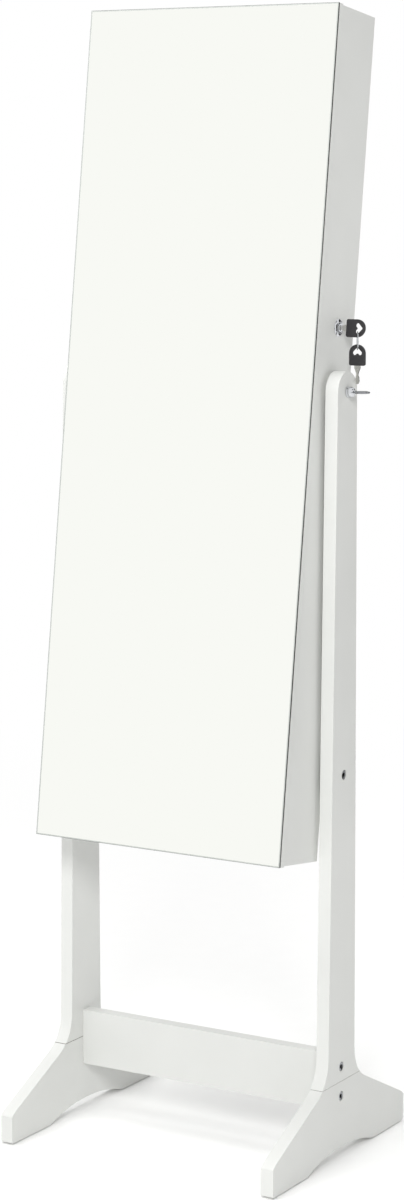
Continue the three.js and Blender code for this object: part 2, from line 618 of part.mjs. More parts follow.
function hinge(place, height) {
  const cabinetLeaf = hingeHalf(height, BOX_FRONT - GAP, BOX_FRONT - GAP + HINGE_LEAF, false);
  const doorLeaf = hingeHalf(height, DOOR_BACK + GAP - HINGE_LEAF, DOOR_BACK + GAP, true);
  const seat = HINGE_LENGTH / 2 + GAP;
  const end = seat + HINGE_CAP;
  const pin = join(
    rod('z', height - end, height + end, HINGE_PIN, HINGE_X, HINGE_Y),
    rod('z', height + seat, height + end, HINGE_CAP_RADIUS, HINGE_X, HINGE_Y),
    rod('z', height - end, height - seat, HINGE_CAP_RADIUS, HINGE_X, HINGE_Y),
  );
  return [
    mesh(`${place}_hinge_cabinet_leaf`, cabinetLeaf, CHROME),
    mesh(`${place}_hinge_door_leaf`, doorLeaf, CHROME),
    mesh(`${place}_hinge_pin`, pin, STEEL),
  ];
}

// ---- lock and keys

function lockBody() {
  const flange = rod('x', BOX_X + GAP, LOCK_FACE, FLANGE_RADIUS, LOCK_DEPTH, LOCK_RISE, ROUND);
  const barrel = rod('x', BARREL_END, BOX_X + GAP + MERGE, BARREL_RADIUS, LOCK_DEPTH, LOCK_RISE, ROUND);
  const bore = rod('x', BARREL_END - CUT_OVERRUN, LOCK_FACE + CUT_OVERRUN, PLUG_RADIUS + GAP,
    LOCK_DEPTH, LOCK_RISE, ROUND);
  return cut(join(flange, barrel), bore);
}

function lockNut() {
  const end = BOX_INSIDE_X - GAP;
  return tube('x', end - LOCK_NUT_THICK, end, LOCK_NUT_RADIUS, BARREL_RADIUS + GAP,
    LOCK_DEPTH, LOCK_RISE, ROUND);
}

function lockPlug() {
  const plug = rod('x', CAM_X - CAM_THICK, PLUG_FACE, PLUG_RADIUS, LOCK_DEPTH, LOCK_RISE);
  const keyway = span(PLUG_FACE - KEY_BLADE_LENGTH, PLUG_FACE + CUT_OVERRUN,
    LOCK_DEPTH - KEY_BLADE_THICK / 2 - GAP, LOCK_DEPTH + KEY_BLADE_THICK / 2 + GAP,
    LOCK_RISE - KEY_BLADE_WIDTH / 2 - GAP, LOCK_RISE + KEY_BLADE_WIDTH / 2 + GAP);
  const seat = tube('x', CAM_X - CAM_THICK - CUT_OVERRUN, CAM_X + CAM_THICK / 2 + GAP,
    PLUG_RADIUS + CUT_OVERRUN, PLUG_STUB_RADIUS, LOCK_DEPTH, LOCK_RISE);
  return cut(plug, seat, keyway);
}

// A hooked arm that points up when the door is free and swings forward behind the door's strike
function lockCam() {
  const half = CAM_WIDTH / 2;
  const shape = new THREE.Shape();
  shape.absarc(0, 0, CAM_HUB_RADIUS, Math.PI, 2 * Math.PI, false);
  shape.lineTo(half, half);
  shape.lineTo(half, CAM_REACH);
  shape.lineTo(-CAM_HOOK, CAM_REACH);
  shape.lineTo(-CAM_HOOK, CAM_REACH - CAM_HOOK_HEIGHT);
  shape.lineTo(-half, CAM_REACH - CAM_HOOK_HEIGHT);
  shape.lineTo(-half, half);
  shape.closePath();
  const arm = plateYZ(shape, CAM_X - CAM_THICK / 2, CAM_X + CAM_THICK / 2).translate(0, LOCK_DEPTH, LOCK_RISE);
  const hole = rod('x', CAM_X - CAM_THICK, CAM_X + CAM_THICK, PLUG_STUB_RADIUS + GAP, LOCK_DEPTH, LOCK_RISE);
  return cut(arm, hole);
}

// The staple on the door whose cross bar the cam's hook passes in front of
function lockStrike() {
  const barBack = LOCK_DEPTH - CAM_REACH + CAM_HOOK_HEIGHT + CAM_CLEARANCE + STRIKE_THICK;
  const x0 = CAM_X - STRIKE_INNER_WIDTH / 2;
  const x1 = CAM_X + STRIKE_INNER_WIDTH / 2;
  const top = LOCK_RISE - STRIKE_BAR_DROP;
  const bottom = top - STRIKE_BAR_HEIGHT;
  const front = DOOR_BACK + GAP;
  const legs = [x0 - STRIKE_THICK, x1].map((x) => span(x, x + STRIKE_THICK, front, barBack, bottom, top));
  const bar = span(x0 - STRIKE_THICK, x1 + STRIKE_THICK, barBack - STRIKE_THICK, barBack, bottom, top);
  const footing = span(x0 - STRIKE_THICK, x1 + STRIKE_THICK, front, front + STRIKE_FOOT_THICK,
    bottom - STRIKE_FOOT_HEIGHT, top);
  return join(legs[0], legs[1], bar, footing);
}

// A key's head from its square end at x = 0 to its round end, flat in X-Z
function keyHeadOutline() {
  const half = KEY_HEAD_WIDTH / 2;
  const shape = new THREE.Shape();
  shape.moveTo(0, -half);
  shape.lineTo(KEY_HEAD_LENGTH - half, -half);
  shape.absarc(KEY_HEAD_LENGTH - half, 0, half, -Math.PI / 2, Math.PI / 2, false);
  shape.lineTo(0, half);
  shape.closePath();
  return shape;
}

// The hole in the head: a soft chevron whose tip points at the round end
function keyHoleTools() {
  const tip = KEY_HOLE_TIP;
  const tools = [];
  const steps = 4;
  for (const side of [-1, 1]) {
    const shape = new THREE.Shape();
    const lean = Math.atan2(KEY_HOLE_SPREAD * side, -KEY_HOLE_SWEEP);
    shape.absarc(tip, 0, KEY_HOLE_RADIUS, lean + Math.PI / 2, lean + Math.PI * 1.5, false);
    shape.absarc(tip - KEY_HOLE_SWEEP, KEY_HOLE_SPREAD * side, KEY_HOLE_RADIUS,
      lean - Math.PI / 2, lean + Math.PI / 2, false);
    shape.closePath();
    tools.push(plateXZ(shape, KEY_HEAD_THICK * 2, steps));
  }
  return tools;
}

function keyHead() {
  return cut(plateXZ(keyHeadOutline(), KEY_HEAD_THICK), ...keyHoleTools());
}

// The blade runs to -X from inside the head, with a waist, a swell and a blunt tip
function keyBladeOutline() {
  const half = KEY_BLADE_WIDTH / 2;
  const end = GAP - KEY_SHANK - KEY_BLADE_LENGTH;
  const { narrows, waist, swells, point, waistWidth, tipWidth } = KEY_BLADE_SHARES;
  const shape = new THREE.Shape();
  shape.moveTo(-GAP, half);
  shape.lineTo(end * narrows, half);
  shape.quadraticCurveTo(end * waist, half * waistWidth, end * swells, half);
  shape.lineTo(end * point, half);
  shape.lineTo(end, half * tipWidth);
  shape.lineTo(end, -half * tipWidth);
  shape.lineTo(end * point, -half);
  shape.lineTo(end * swells, -half);
  shape.quadraticCurveTo(end * waist, -half * waistWidth, end * narrows, -half);
  shape.lineTo(-GAP, -half);
  shape.closePath();
  return shape;
}

// A whole key at the origin: the blade is moulded into the head, so the key is one piece
function keySolid() {
  const blade = plateXZ(keyBladeOutline(), KEY_BLADE_THICK, 4);
  const root = span(-MERGE, KEY_ROOT, -KEY_BLADE_THICK / 2, KEY_BLADE_THICK / 2,
    -KEY_BLADE_WIDTH / 2, KEY_BLADE_WIDTH / 2);
  return join(keyHead(), root, blade);
}

function insertedKey() {
  return keySolid().translate(KEY_HEAD_X, LOCK_DEPTH, LOCK_RISE);
}

// Where the key ring's wire crosses the inserted key, in the cabinet's frame
function ringSeat() {
  const drop = KEY_HOLE_SPREAD + KEY_HOLE_RADIUS - KEY_RING_PLAY;
  return new THREE.Vector3(RING_X, LOCK_DEPTH, LOCK_RISE - drop);
}

function keyRing() {
  const wire = new THREE.TorusGeometry(KEY_RING_RADIUS, KEY_RING_WIRE, 8, ROUND);
  return wire.rotateY(Math.PI / 2).rotateZ(degrees(KEY_RING_TURN)).translate(0, 0, -KEY_RING_RADIUS);
}

// The second key hangs head up, with the ring through the tip of its hole
function spareKey() {
  const hang = KEY_HOLE_TIP + KEY_HOLE_RADIUS - KEY_RING_PLAY;
  return keySolid().rotateY(-Math.PI / 2).translate(0, 0, -2 * KEY_RING_RADIUS - hang);
}

// ---- magnet catch that keeps the unlocked door shut

function magnetCatch() {
  const x = BOX_INSIDE_X - GAP;
  const low = MAGNET_HEIGHT - MAGNET_SIZE.z / 2;
  return span(x - MAGNET_SIZE.x, x, MAGNET_FRONT, MAGNET_FRONT + MAGNET_SIZE.y, low, low + MAGNET_SIZE.z);
}

function magnetPlate() {
  const x = BOX_INSIDE_X - GAP;
  const low = MAGNET_HEIGHT - MAGNET_SIZE.z / 2;
  return span(x - MAGNET_SIZE.x, x, DOOR_BACK + GAP, DOOR_BACK + GAP + MAGNET_PLATE_THICK,
    low, low + MAGNET_SIZE.z);
}

// ---- the whole

const part = new THREE.Group();
part.add(standSide('left', steppedPivotHole()));
part.add(standSide('right', plainPivotHole()));
const lowerBolts = [SEAM_HEIGHT - BOLT_OFFSET, SEAM_HEIGHT + BOLT_OFFSET];
part.add(mesh('lower_rail', rail(SEAM_HEIGHT, LOWER_RAIL_HEIGHT, lowerBolts), WHITE));
part.add(mesh('upper_rail', rail(UPPER_RAIL_MIDDLE, UPPER_RAIL_HEIGHT, [UPPER_RAIL_MIDDLE]), WHITE));
part.add(mesh('left_pivot_bolt', leftPivotBolt(), STEEL));
part.add(mesh('clamp_screw', clampScrew(), CHROME));

const cabinet = new THREE.Group();
cabinet.position.z = PIVOT_HEIGHT;
cabinet.rotation.x = -TILT;
part.add(cabinet);
cabinet.add(mesh('left_side_panel', leftSidePanel(), WHITE));
cabinet.add(mesh('right_side_panel', rightSidePanel(), WHITE));
cabinet.add(mesh('top_panel', crossPanel(BOX_TOP - WALL, BOX_TOP), WHITE));
cabinet.add(mesh('bottom_panel', crossPanel(BOX_BOTTOM, BOX_BOTTOM + WALL), WHITE));
cabinet.add(mesh('right_insert_nut', insertNut(), STEEL));
cabinet.add(mesh('left_insert_nut', insertNut().rotateZ(Math.PI), STEEL));
cabinet.add(mesh('upper_shelf', shelf(UPPER_SHELF_HEIGHT), WHITE));
cabinet.add(mesh('lower_shelf', shelf(LOWER_SHELF_HEIGHT), WHITE));
cabinet.add(mesh('necklace_hook_rail', necklaceHookRail(), BLACK));
cabinet.add(mesh('earring_rack', earringRack(), BLACK));
cabinet.add(mesh('ring_cushion', ringCushion(), VELVET));
cabinet.add(mesh('door_panel', doorPanel(), WHITE));
cabinet.add(mesh('mirror_glass', mirrorGlass(), GLASS_LOOK));
for (const [place, height] of Object.entries(HINGE_HEIGHTS)) cabinet.add(...hinge(place, height));
cabinet.add(mesh('lock_body', lockBody(), CHROME));
cabinet.add(mesh('lock_nut', lockNut(), CHROME));
cabinet.add(mesh('lock_plug', lockPlug(), CHROME));
cabinet.add(mesh('lock_cam', lockCam(), STEEL));
cabinet.add(mesh('lock_strike', lockStrike(), STEEL));
cabinet.add(mesh('key', insertedKey(), BLACK));
cabinet.add(mesh('back_panel', backPanel(), WHITE));
cabinet.add(mesh('magnet_catch', magnetCatch(), WHITE));
cabinet.add(mesh('magnet_plate', magnetPlate(), STEEL));

// The ring and the second key hang straight down, whatever the cabinet's tilt
const hanging = new THREE.Group();
const pivot = new THREE.Vector3(0, 0, PIVOT_HEIGHT);
hanging.position.copy(ringSeat().applyAxisAngle(new THREE.Vector3(1, 0, 0), -TILT).add(pivot));
hanging.add(mesh('key_ring', keyRing(), CHROME));
hanging.add(mesh('spare_key', spareKey(), BLACK));
part.add(hanging);

// The clamp screw reaches past the right upright, so the whole is moved to stand centred on the origin
part.position.x = -(REACH_RIGHT - OUTER_X) / 2;

export default part;
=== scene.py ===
import json
import math

import bmesh
import bpy
from mathutils import Matrix, Vector

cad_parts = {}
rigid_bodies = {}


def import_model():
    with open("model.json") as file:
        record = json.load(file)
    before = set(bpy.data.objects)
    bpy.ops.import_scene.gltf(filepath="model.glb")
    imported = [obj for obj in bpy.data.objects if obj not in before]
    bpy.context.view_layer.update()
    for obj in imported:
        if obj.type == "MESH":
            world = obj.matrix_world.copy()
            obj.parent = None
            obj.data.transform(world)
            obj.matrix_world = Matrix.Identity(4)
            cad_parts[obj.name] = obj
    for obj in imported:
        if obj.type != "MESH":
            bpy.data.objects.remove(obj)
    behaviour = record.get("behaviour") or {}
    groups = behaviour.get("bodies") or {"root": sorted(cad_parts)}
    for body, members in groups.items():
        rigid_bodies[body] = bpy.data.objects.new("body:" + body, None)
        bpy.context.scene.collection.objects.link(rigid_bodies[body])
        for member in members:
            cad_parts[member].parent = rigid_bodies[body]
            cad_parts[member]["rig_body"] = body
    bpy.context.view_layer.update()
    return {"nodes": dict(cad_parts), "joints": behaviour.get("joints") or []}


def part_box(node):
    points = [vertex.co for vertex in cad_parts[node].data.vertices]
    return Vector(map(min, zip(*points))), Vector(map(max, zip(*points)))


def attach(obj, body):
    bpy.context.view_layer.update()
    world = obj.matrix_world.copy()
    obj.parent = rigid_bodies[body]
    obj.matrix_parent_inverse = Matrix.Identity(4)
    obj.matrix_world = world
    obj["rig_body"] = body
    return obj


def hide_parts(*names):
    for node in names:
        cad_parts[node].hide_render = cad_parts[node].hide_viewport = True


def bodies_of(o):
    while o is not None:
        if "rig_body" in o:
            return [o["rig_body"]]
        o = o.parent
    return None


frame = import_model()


# ---- Camera
# A still camera on a stand, to the right of the mirror and a little above its middle. Its place is
# in metres, its angles in radians and its lens in millimetres.

CAMERA_PLACE = Vector((1.8834, -3.19735, 1.26642))
CAMERA_YAW = 0.53742
CAMERA_PITCH = -0.12796
CAMERA_ROLL = 0.00264
CAMERA_LENS = 85.274
CAMERA_SHIFT = -0.0377

ahead = Vector((
    -math.sin(CAMERA_YAW) * math.cos(CAMERA_PITCH),
    math.cos(CAMERA_YAW) * math.cos(CAMERA_PITCH),
    math.sin(CAMERA_PITCH),
))
level = Vector((math.cos(CAMERA_YAW), math.sin(CAMERA_YAW), 0))
rise = level.cross(ahead)
right = level * math.cos(CAMERA_ROLL) + rise * math.sin(CAMERA_ROLL)
upward = rise * math.cos(CAMERA_ROLL) - level * math.sin(CAMERA_ROLL)
camera = bpy.data.objects.new("camera", bpy.data.cameras.new("camera"))
camera_turn = Matrix((right, upward, -ahead)).transposed().to_4x4()
camera.matrix_world = Matrix.Translation(CAMERA_PLACE) @ camera_turn
camera.data.lens = CAMERA_LENS
camera.data.shift_y = CAMERA_SHIFT
bpy.context.scene.collection.objects.link(camera)
bpy.context.scene.camera = camera
bpy.context.scene.view_settings.view_transform = "Standard"


# ---- Floor and light
# A wide sheet of pale matt paper on the floor of a white studio, with four cloth-fronted lamps: one
# above, one before the mirror at the left, a small one beside the camera and one behind.

MM = 0.001
PAPER_HALF = 30.0
PAPER_COLOUR = "f8f8f7"
PAPER_CLOUD = 40 * MM
# Metres from the middle of the floor: where the paper begins to turn into light, and where it has
PAPER_FADES = (-0.3, 3.0)
ROOM_LIGHT = 0.22
LAMPS = {
    # name: (place, what it faces, width and height in metres, watts)
    "lamp_above": ((-0.9, -0.6, 4.8), (0.0, 0.0, 0.0), (3.4, 3.4), 165.0),
    "lamp_front": ((-1.2, -5.8, 2.5), (0.0, 0.0, 1.0), (5.0, 4.6), 42.0),
    "lamp_beside_camera": ((2.3, -4.1, 3.1), (0.0, 0.0, 1.3), (1.4, 1.4), 165.0),
    "lamp_behind": ((0.5, 4.5, 2.8), (0.0, 0.0, 0.5), (2.6, 2.0), 95.0),
}


def linear(code):
    """The linear colour of an sRGB hex code."""
    parts = [int(code[i:i + 2], 16) / 255 for i in (0, 2, 4)]
    curved = [c / 12.92 if c <= 0.04045 else ((c + 0.055) / 1.055) ** 2.4 for c in parts]
    return curved + [1.0]


def add(tree, kind, inputs=(), **settings):
    """Adds a node with its settings; inputs are (socket, value or another node's output)."""
    made = tree.nodes.new(kind)
    for name, value in settings.items():
        setattr(made, name, value)
    for socket, value in inputs:
        if isinstance(value, bpy.types.NodeSocket):
            tree.links.new(value, made.inputs[socket])
        else:
            made.inputs[socket].default_value = value
    return made


def finish_for(name, colour, roughness, metallic=0.0, **sockets):
    """A new material: returns it, its node tree, its shader, and a point's place on its piece in metres."""
    material = bpy.data.materials.new(name)
    material.use_nodes = True
    tree = material.node_tree
    shader = tree.nodes["Principled BSDF"]
    shader.inputs["Base Color"].default_value = linear(colour)
    shader.inputs["Roughness"].default_value = roughness
    shader.inputs["Metallic"].default_value = metallic
    for socket, value in sockets.items():
        shader.inputs[socket.replace("_", " ")].default_value = value
    at = add(tree, "ShaderNodeTexCoord").outputs["Object"]
    return material, tree, shader, at


# Sized drawing paper: matt, with a faint cloud of shade from its fibres, clouds some 40 mm across
paper, tree, shader, at = finish_for("matt_paper", PAPER_COLOUR, 0.85)
fibres = add(tree, "ShaderNodeTexNoise", [("Vector", at), ("Scale", 1 / PAPER_CLOUD), ("Detail", 4.0)])
pulp = add(tree, "ShaderNodeValToRGB", [("Fac", fibres.outputs["Fac"])])
pulp.color_ramp.elements[0].color = linear("f6f6f5")
pulp.color_ramp.elements[1].color = linear("fafaf9")
tree.links.new(pulp.outputs["Color"], shader.inputs["Base Color"])
# Away from the object the paper turns into plain white light, so that no horizon shows
reach = add(tree, "ShaderNodeVectorMath", [(0, at)], operation="LENGTH")
fade = add(tree, "ShaderNodeMapRange",
           [("Value", reach.outputs["Value"]), ("From Min", PAPER_FADES[0]), ("From Max", PAPER_FADES[1])],
           interpolation_type="SMOOTHSTEP")
glow = add(tree, "ShaderNodeEmission", [("Color", linear("ffffff"))])
mixed = add(tree, "ShaderNodeMixShader",
            [(0, fade.outputs["Result"]), (1, shader.outputs["BSDF"]), (2, glow.outputs["Emission"])])
tree.links.new(mixed.outputs["Shader"], tree.nodes["Material Output"].inputs["Surface"])

sheet = bmesh.new()
bmesh.ops.create_grid(sheet, x_segments=1, y_segments=1, size=PAPER_HALF)
floor = bpy.data.objects.new("floor", bpy.data.meshes.new("floor"))
sheet.to_mesh(floor.data)
sheet.free()
floor.data.materials.append(paper)
bpy.context.scene.collection.objects.link(floor)

world = bpy.data.worlds.new("studio")
bpy.context.scene.world = world
world.use_nodes = True
tree = world.node_tree
room = tree.nodes["Background"]
room.inputs["Color"].default_value = linear("ffffff")
# The room is white to look at and in the mirror, and gives less light than that
path = add(tree, "ShaderNodeLightPath")
looked_at = add(tree, "ShaderNodeMath",
                [(0, path.outputs["Is Camera Ray"]), (1, path.outputs["Is Glossy Ray"])],
                operation="MAXIMUM")
strength = add(tree, "ShaderNodeMapRange",
               [("Value", looked_at.outputs["Value"]), ("To Min", ROOM_LIGHT), ("To Max", 1.0)])
tree.links.new(strength.outputs["Result"], room.inputs["Strength"])

# Black cloth flags hung out of sight, all facing the lock: they only show in reflections, and give
# the bright metal something dark to mirror. Their thread nubs are drawn at 5 mm.
FLAGS_FACE = Vector((0.2, 0.0, 1.1))
FLAGS = {
    # name: (middle, half width and half height in metres)
    "flag_rear": ((1.05, 2.2, 1.86), (0.75, 0.6)),
    "flag_rear_low": ((1.05, 2.1, 0.35), (0.75, 0.58)),
    "flag_corner": ((2.5, 1.9, 1.1), (0.3, 0.5)),
    "flag_side": ((3.0, 0.4, 1.0), (0.4, 1.2)),
    "flag_top": ((1.6, 0.2, 2.5), (0.6, 0.25)),
    "flag_front": ((2.8, -2.2, 0.7), (0.5, 0.3)),
}
flag_cloth, tree, shader, at = finish_for("black_cloth", "121212", 0.9)
threads = add(tree, "ShaderNodeTexNoise", [("Vector", at), ("Scale", 1 / (5 * MM)), ("Detail", 1.0)])
nubs = add(tree, "ShaderNodeBump",
           [("Height", threads.outputs["Fac"]), ("Strength", 0.3), ("Distance", 0.5 * MM)])
tree.links.new(nubs.outputs["Normal"], shader.inputs["Normal"])
for name, (middle, (half_width, half_height)) in FLAGS.items():
    cloth = bmesh.new()
    facing = (FLAGS_FACE - Vector(middle)).to_track_quat("-Z", "Y").to_matrix().to_4x4()
    hung = Matrix.Translation(middle) @ facing @ Matrix.Diagonal((half_width, half_height, 1, 1))
    bmesh.ops.create_grid(cloth, x_segments=1, y_segments=1, size=1.0, matrix=hung)
    flag = bpy.data.objects.new(name, bpy.data.meshes.new(name))
    cloth.to_mesh(flag.data)
    cloth.free()
    flag.data.materials.append(flag_cloth)
    flag.visible_camera = False
    flag.visible_diffuse = False
    flag.visible_shadow = False
    bpy.context.scene.collection.objects.link(flag)

for name, (place, target, (width, height), watts) in LAMPS.items():
    lamp = bpy.data.objects.new(name, bpy.data.lights.new(name, "AREA"))
    lamp.data.shape = "RECTANGLE"
    lamp.data.size = width
    lamp.data.size_y = height
    lamp.data.energy = watts
    lamp.visible_camera = False
    lamp.visible_glossy = False
    lamp.location = place
    lamp.rotation_euler = (Vector(target) - Vector(place)).to_track_quat("-Z", "Y").to_euler()
    bpy.context.scene.collection.objects.link(lamp)


# ---- Boards of the stand
# Two uprights and two feet, sawn from 18 mm fibreboard, with two rails between them. Their edges
# are eased with sandpaper, and all is sprayed with white satin lacquer before it is put together.

BOARD_EASE = 1.1
LACQUER_COLOURS = ("d8d9d6", "dddedb")
ORANGE_PEEL = 3.5 * MM
SPRAY_CLOUD = 160 * MM
# How far either side of the seam the faces take the dark bare-board tone, which is partly painted shade of
# the gap
SEAM_SHADE_REACH = 0.75 * MM
TOE_ROUNDING = {"upper": 14.0 * MM, "lower": 2.5 * MM}
HARD_TURN = math.radians(30)
SHADED_TURN = math.radians(38)
nodes = frame["nodes"]


def shown(name, mesh, body, slot, *materials):
    """A finished piece from a bmesh: its object at the origin, riding a body."""
    data = bpy.data.meshes.new(name)
    mesh.to_mesh(data)
    mesh.free()
    piece = bpy.data.objects.new(name, data)
    for material in materials:
        data.materials.append(material)
    bpy.context.scene.collection.objects.link(piece)
    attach(piece, body)
    return piece


def round_off(mesh, geometry, radius, segments, affect="EDGES"):
    """Rounds edges or corners of a mesh to a radius."""
    bmesh.ops.bevel(mesh, geom=geometry, offset=radius, offset_type="OFFSET", segments=segments,
                    profile=0.5, affect=affect, clamp_overlap=affect == "EDGES", material=-1)


def shade_smooth(mesh, turn):
    """Shades a mesh smooth, apart from the edges that turn by more than an angle."""
    for face in mesh.faces:
        face.smooth = True
    for edge in mesh.edges:
        edge.smooth = edge.calc_face_angle(0) < turn


def soften(mesh, ease, segments=3):
    """Rounds every hard edge by ease in millimetres, and shades the faces smooth between them."""
    sharp = [e for e in mesh.edges if e.is_manifold and e.calc_face_angle() > HARD_TURN]
    round_off(mesh, sharp, ease * MM, segments)
    shade_smooth(mesh, SHADED_TURN)


def whole(node):
    """A merged copy of a CAD node's mesh, with its flat faces in one piece."""
    mesh = bmesh.new()
    mesh.from_mesh(nodes[node].data)
    bmesh.ops.remove_doubles(mesh, verts=mesh.verts, dist=0.004 * MM)
    bmesh.ops.dissolve_limit(mesh, angle_limit=math.radians(1), verts=mesh.verts, edges=mesh.edges)
    return mesh


def body_of(node):
    """The name of the body that a CAD node rides on."""
    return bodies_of(nodes[node])[0]


def even_out(piece):
    """Keeps the flat faces looking flat up to their rounded edges."""
    even = piece.modifiers.new("even_shading", "WEIGHTED_NORMAL")
    even.keep_sharp = True


def eased(node, name, ease, slot, *materials, segments=3, shape=None):
    """A CAD node's shape again, with its edges rounded as the real piece's are."""
    mesh = whole(node)
    if shape:
        shape(mesh)
    soften(mesh, ease, segments)
    piece = shown(name, mesh, body_of(node), slot, *materials)
    even_out(piece)
    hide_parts(node)
    return piece


# Satin polyurethane lacquer, sprayed on sealed fibreboard: a soft sheen, a faint orange peel, which
# is drawn at 3.5 mm as the real 1.5 mm wouldn't show, and slow clouds where the coat is thicker
lacquer, tree, shader, at = finish_for("satin_lacquer", LACQUER_COLOURS[0], 0.42,
                                       IOR=1.5, Coat_Weight=0.12, Coat_Roughness=0.3)
cloud = add(tree, "ShaderNodeTexNoise", [("Vector", at), ("Scale", 1 / SPRAY_CLOUD), ("Detail", 3.0)])
tone = add(tree, "ShaderNodeValToRGB", [("Fac", cloud.outputs["Fac"])])
tone.color_ramp.elements[0].position = 0.3
tone.color_ramp.elements[0].color = linear(LACQUER_COLOURS[0])
tone.color_ramp.elements[1].position = 0.7
tone.color_ramp.elements[1].color = linear(LACQUER_COLOURS[1])
tree.links.new(tone.outputs["Color"], shader.inputs["Base Color"])
gloss = add(tree, "ShaderNodeMapRange", [("Value", cloud.outputs["Fac"]), ("To Min", 0.36), ("To Max", 0.5)])
tree.links.new(gloss.outputs["Result"], shader.inputs["Roughness"])
peel = add(tree, "ShaderNodeTexNoise",
           [("Vector", at), ("Scale", 1 / ORANGE_PEEL), ("Detail", 2.0), ("Roughness", 0.4)])
skin = add(tree, "ShaderNodeBump",
           [("Height", peel.outputs["Fac"]), ("Strength", 0.12), ("Distance", 0.3 * MM)])
tree.links.new(skin.outputs["Normal"], shader.inputs["Normal"])

# Sawn fibreboard, left bare where two boards meet: drab grey-brown, with fluffy fibres 0.8 mm across. Its
# dark tone is partly the bare board and partly painted shade of the gap at the seam, and it also covers the
# eased rims beside the seam
sawn, tree, shader, at = finish_for("sawn_fibreboard_seam_shade", "6f6a62", 0.95)
fluff = add(tree, "ShaderNodeTexNoise", [("Vector", at), ("Scale", 1 / (0.8 * MM)), ("Detail", 3.0)])
fibre = add(tree, "ShaderNodeValToRGB", [("Fac", fluff.outputs["Fac"])])
fibre.color_ramp.elements[0].color = linear("5c5852")
fibre.color_ramp.elements[1].color = linear("7f7a72")
tree.links.new(fibre.outputs["Color"], shader.inputs["Base Color"])

seam_height = (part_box("left_foot")[1].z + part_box("left_upright")[0].z) / 2
toe_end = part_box("left_foot")[1].y


def round_toes(mesh):
    """Rounds the upper and the lower corner of both toes, which cross the board's thickness."""
    for place, radius in TOE_ROUNDING.items():
        corners = [e for e in mesh.edges if all(abs(v.co.y) > toe_end - 0.5 * MM for v in e.verts)
                   and abs((e.verts[0].co - e.verts[1].co).x) > 10 * MM
                   and (e.verts[0].co.z > 10 * MM) == (place == "upper")]
        round_off(mesh, corners, radius, 6)


for side in ("left", "right"):
    for board, shape in (("upright", None), ("foot", round_toes)):
        made = eased(f"{side}_{board}", f"{side}_{board}_board", BOARD_EASE, "white_board",
                     lacquer, sawn, shape=shape)
        # Faces at the seam, on the eased rims as well as inside the joint, take the bare board's dark tone:
        # partly its own colour, partly painted shade of the gap
        for face in made.data.polygons:
            if abs(face.center.z - seam_height) < SEAM_SHADE_REACH:
                face.material_index = 1
for rail in ("lower_rail", "upper_rail"):
    eased(rail, f"{rail}_board", BOARD_EASE, "white_board", lacquer)


# ---- Bolts, barrel nuts, dowels and glides
# Knock-down fittings: socket-head bolts, black at the head and plated in the shank, screwed into
# zinc-plated barrel nuts in the rails, beech dowels across the seams, and nylon glides tacked under
# the toes. The pivots turn in nylon spacers and in nuts set into the cabinet.

STEEL_EASE = 0.35
NYLON_EASE = 0.4
SOCKET_REACH = 2.6 * MM
# Within this radius the socket's floor is left bright zinc, a painted highlight; the head within HEAD_DEPTH
# of its end is painted black, partly as shade of its recess
HEAD_DEPTH = 4.0 * MM
HEAD_RISE = 1.7 * MM
# In millimetres; NUT_FACE is how far behind the pivot the nuts' slotted ends lie
NUT_SLOT = ((-3.4, -0.6), (3.4, -0.6), (3.4, 0.6), (-3.4, 0.6))
NUT_FACE = 7.0
NUT_RADIUS = 4.6
NUT_FACE_THICK = 0.5

# Zinc plating, passivated clear: a dull bluish metal with a faint mottle, drawn at 4 mm
zinc, tree, shader, at = finish_for("zinc_plated_steel", "a3a6aa", 0.34, 1.0)
mottle = add(tree, "ShaderNodeTexNoise", [("Vector", at), ("Scale", 1 / (4 * MM)), ("Detail", 3.0)])
hue = add(tree, "ShaderNodeValToRGB", [("Fac", mottle.outputs["Fac"])])
hue.color_ramp.elements[0].color = linear("8f9399")
hue.color_ramp.elements[1].color = linear("b4b6b8")
tree.links.new(hue.outputs["Color"], shader.inputs["Base Color"])
dull = add(tree, "ShaderNodeMapRange",
           [("Value", mottle.outputs["Fac"]), ("To Min", 0.26), ("To Max", 0.44)])
tree.links.new(dull.outputs["Result"], shader.inputs["Roughness"])

# Turned beech: pale, with straight darker flecks 0.7 mm wide and 6 mm long that run upwards
beech, tree, shader, at = finish_for("turned_beech", "cfae82", 0.62)
along = add(tree, "ShaderNodeMapping", [("Vector", at), ("Scale", (1.0, 1.0, 0.12))])
grain = add(tree, "ShaderNodeTexNoise",
            [("Vector", along.outputs["Vector"]), ("Scale", 1 / (0.7 * MM)), ("Detail", 3.0)])
fleck = add(tree, "ShaderNodeValToRGB", [("Fac", grain.outputs["Fac"])])
fleck.color_ramp.elements[0].color = linear("b48d5f")
fleck.color_ramp.elements[1].color = linear("dcc097")
tree.links.new(fleck.outputs["Color"], shader.inputs["Base Color"])

# Moulded nylon: milky, waxy, with a fine grain 0.8 mm across from the mould
nylon, tree, shader, at = finish_for("milky_nylon", "dededa", 0.38, IOR=1.53,
                                     Subsurface_Weight=0.15, Subsurface_Scale=2 * MM)
mould = add(tree, "ShaderNodeTexNoise", [("Vector", at), ("Scale", 1 / (0.8 * MM)), ("Detail", 1.0)])
pitted = add(tree, "ShaderNodeBump",
             [("Height", mould.outputs["Fac"]), ("Strength", 0.15), ("Distance", 0.1 * MM)])
tree.links.new(pitted.outputs["Normal"], shader.inputs["Normal"])


def dressed(node, material):
    """A CAD node whose shape is right as it is: it only gets its finish."""
    nodes[node].material_slots[0].material = material


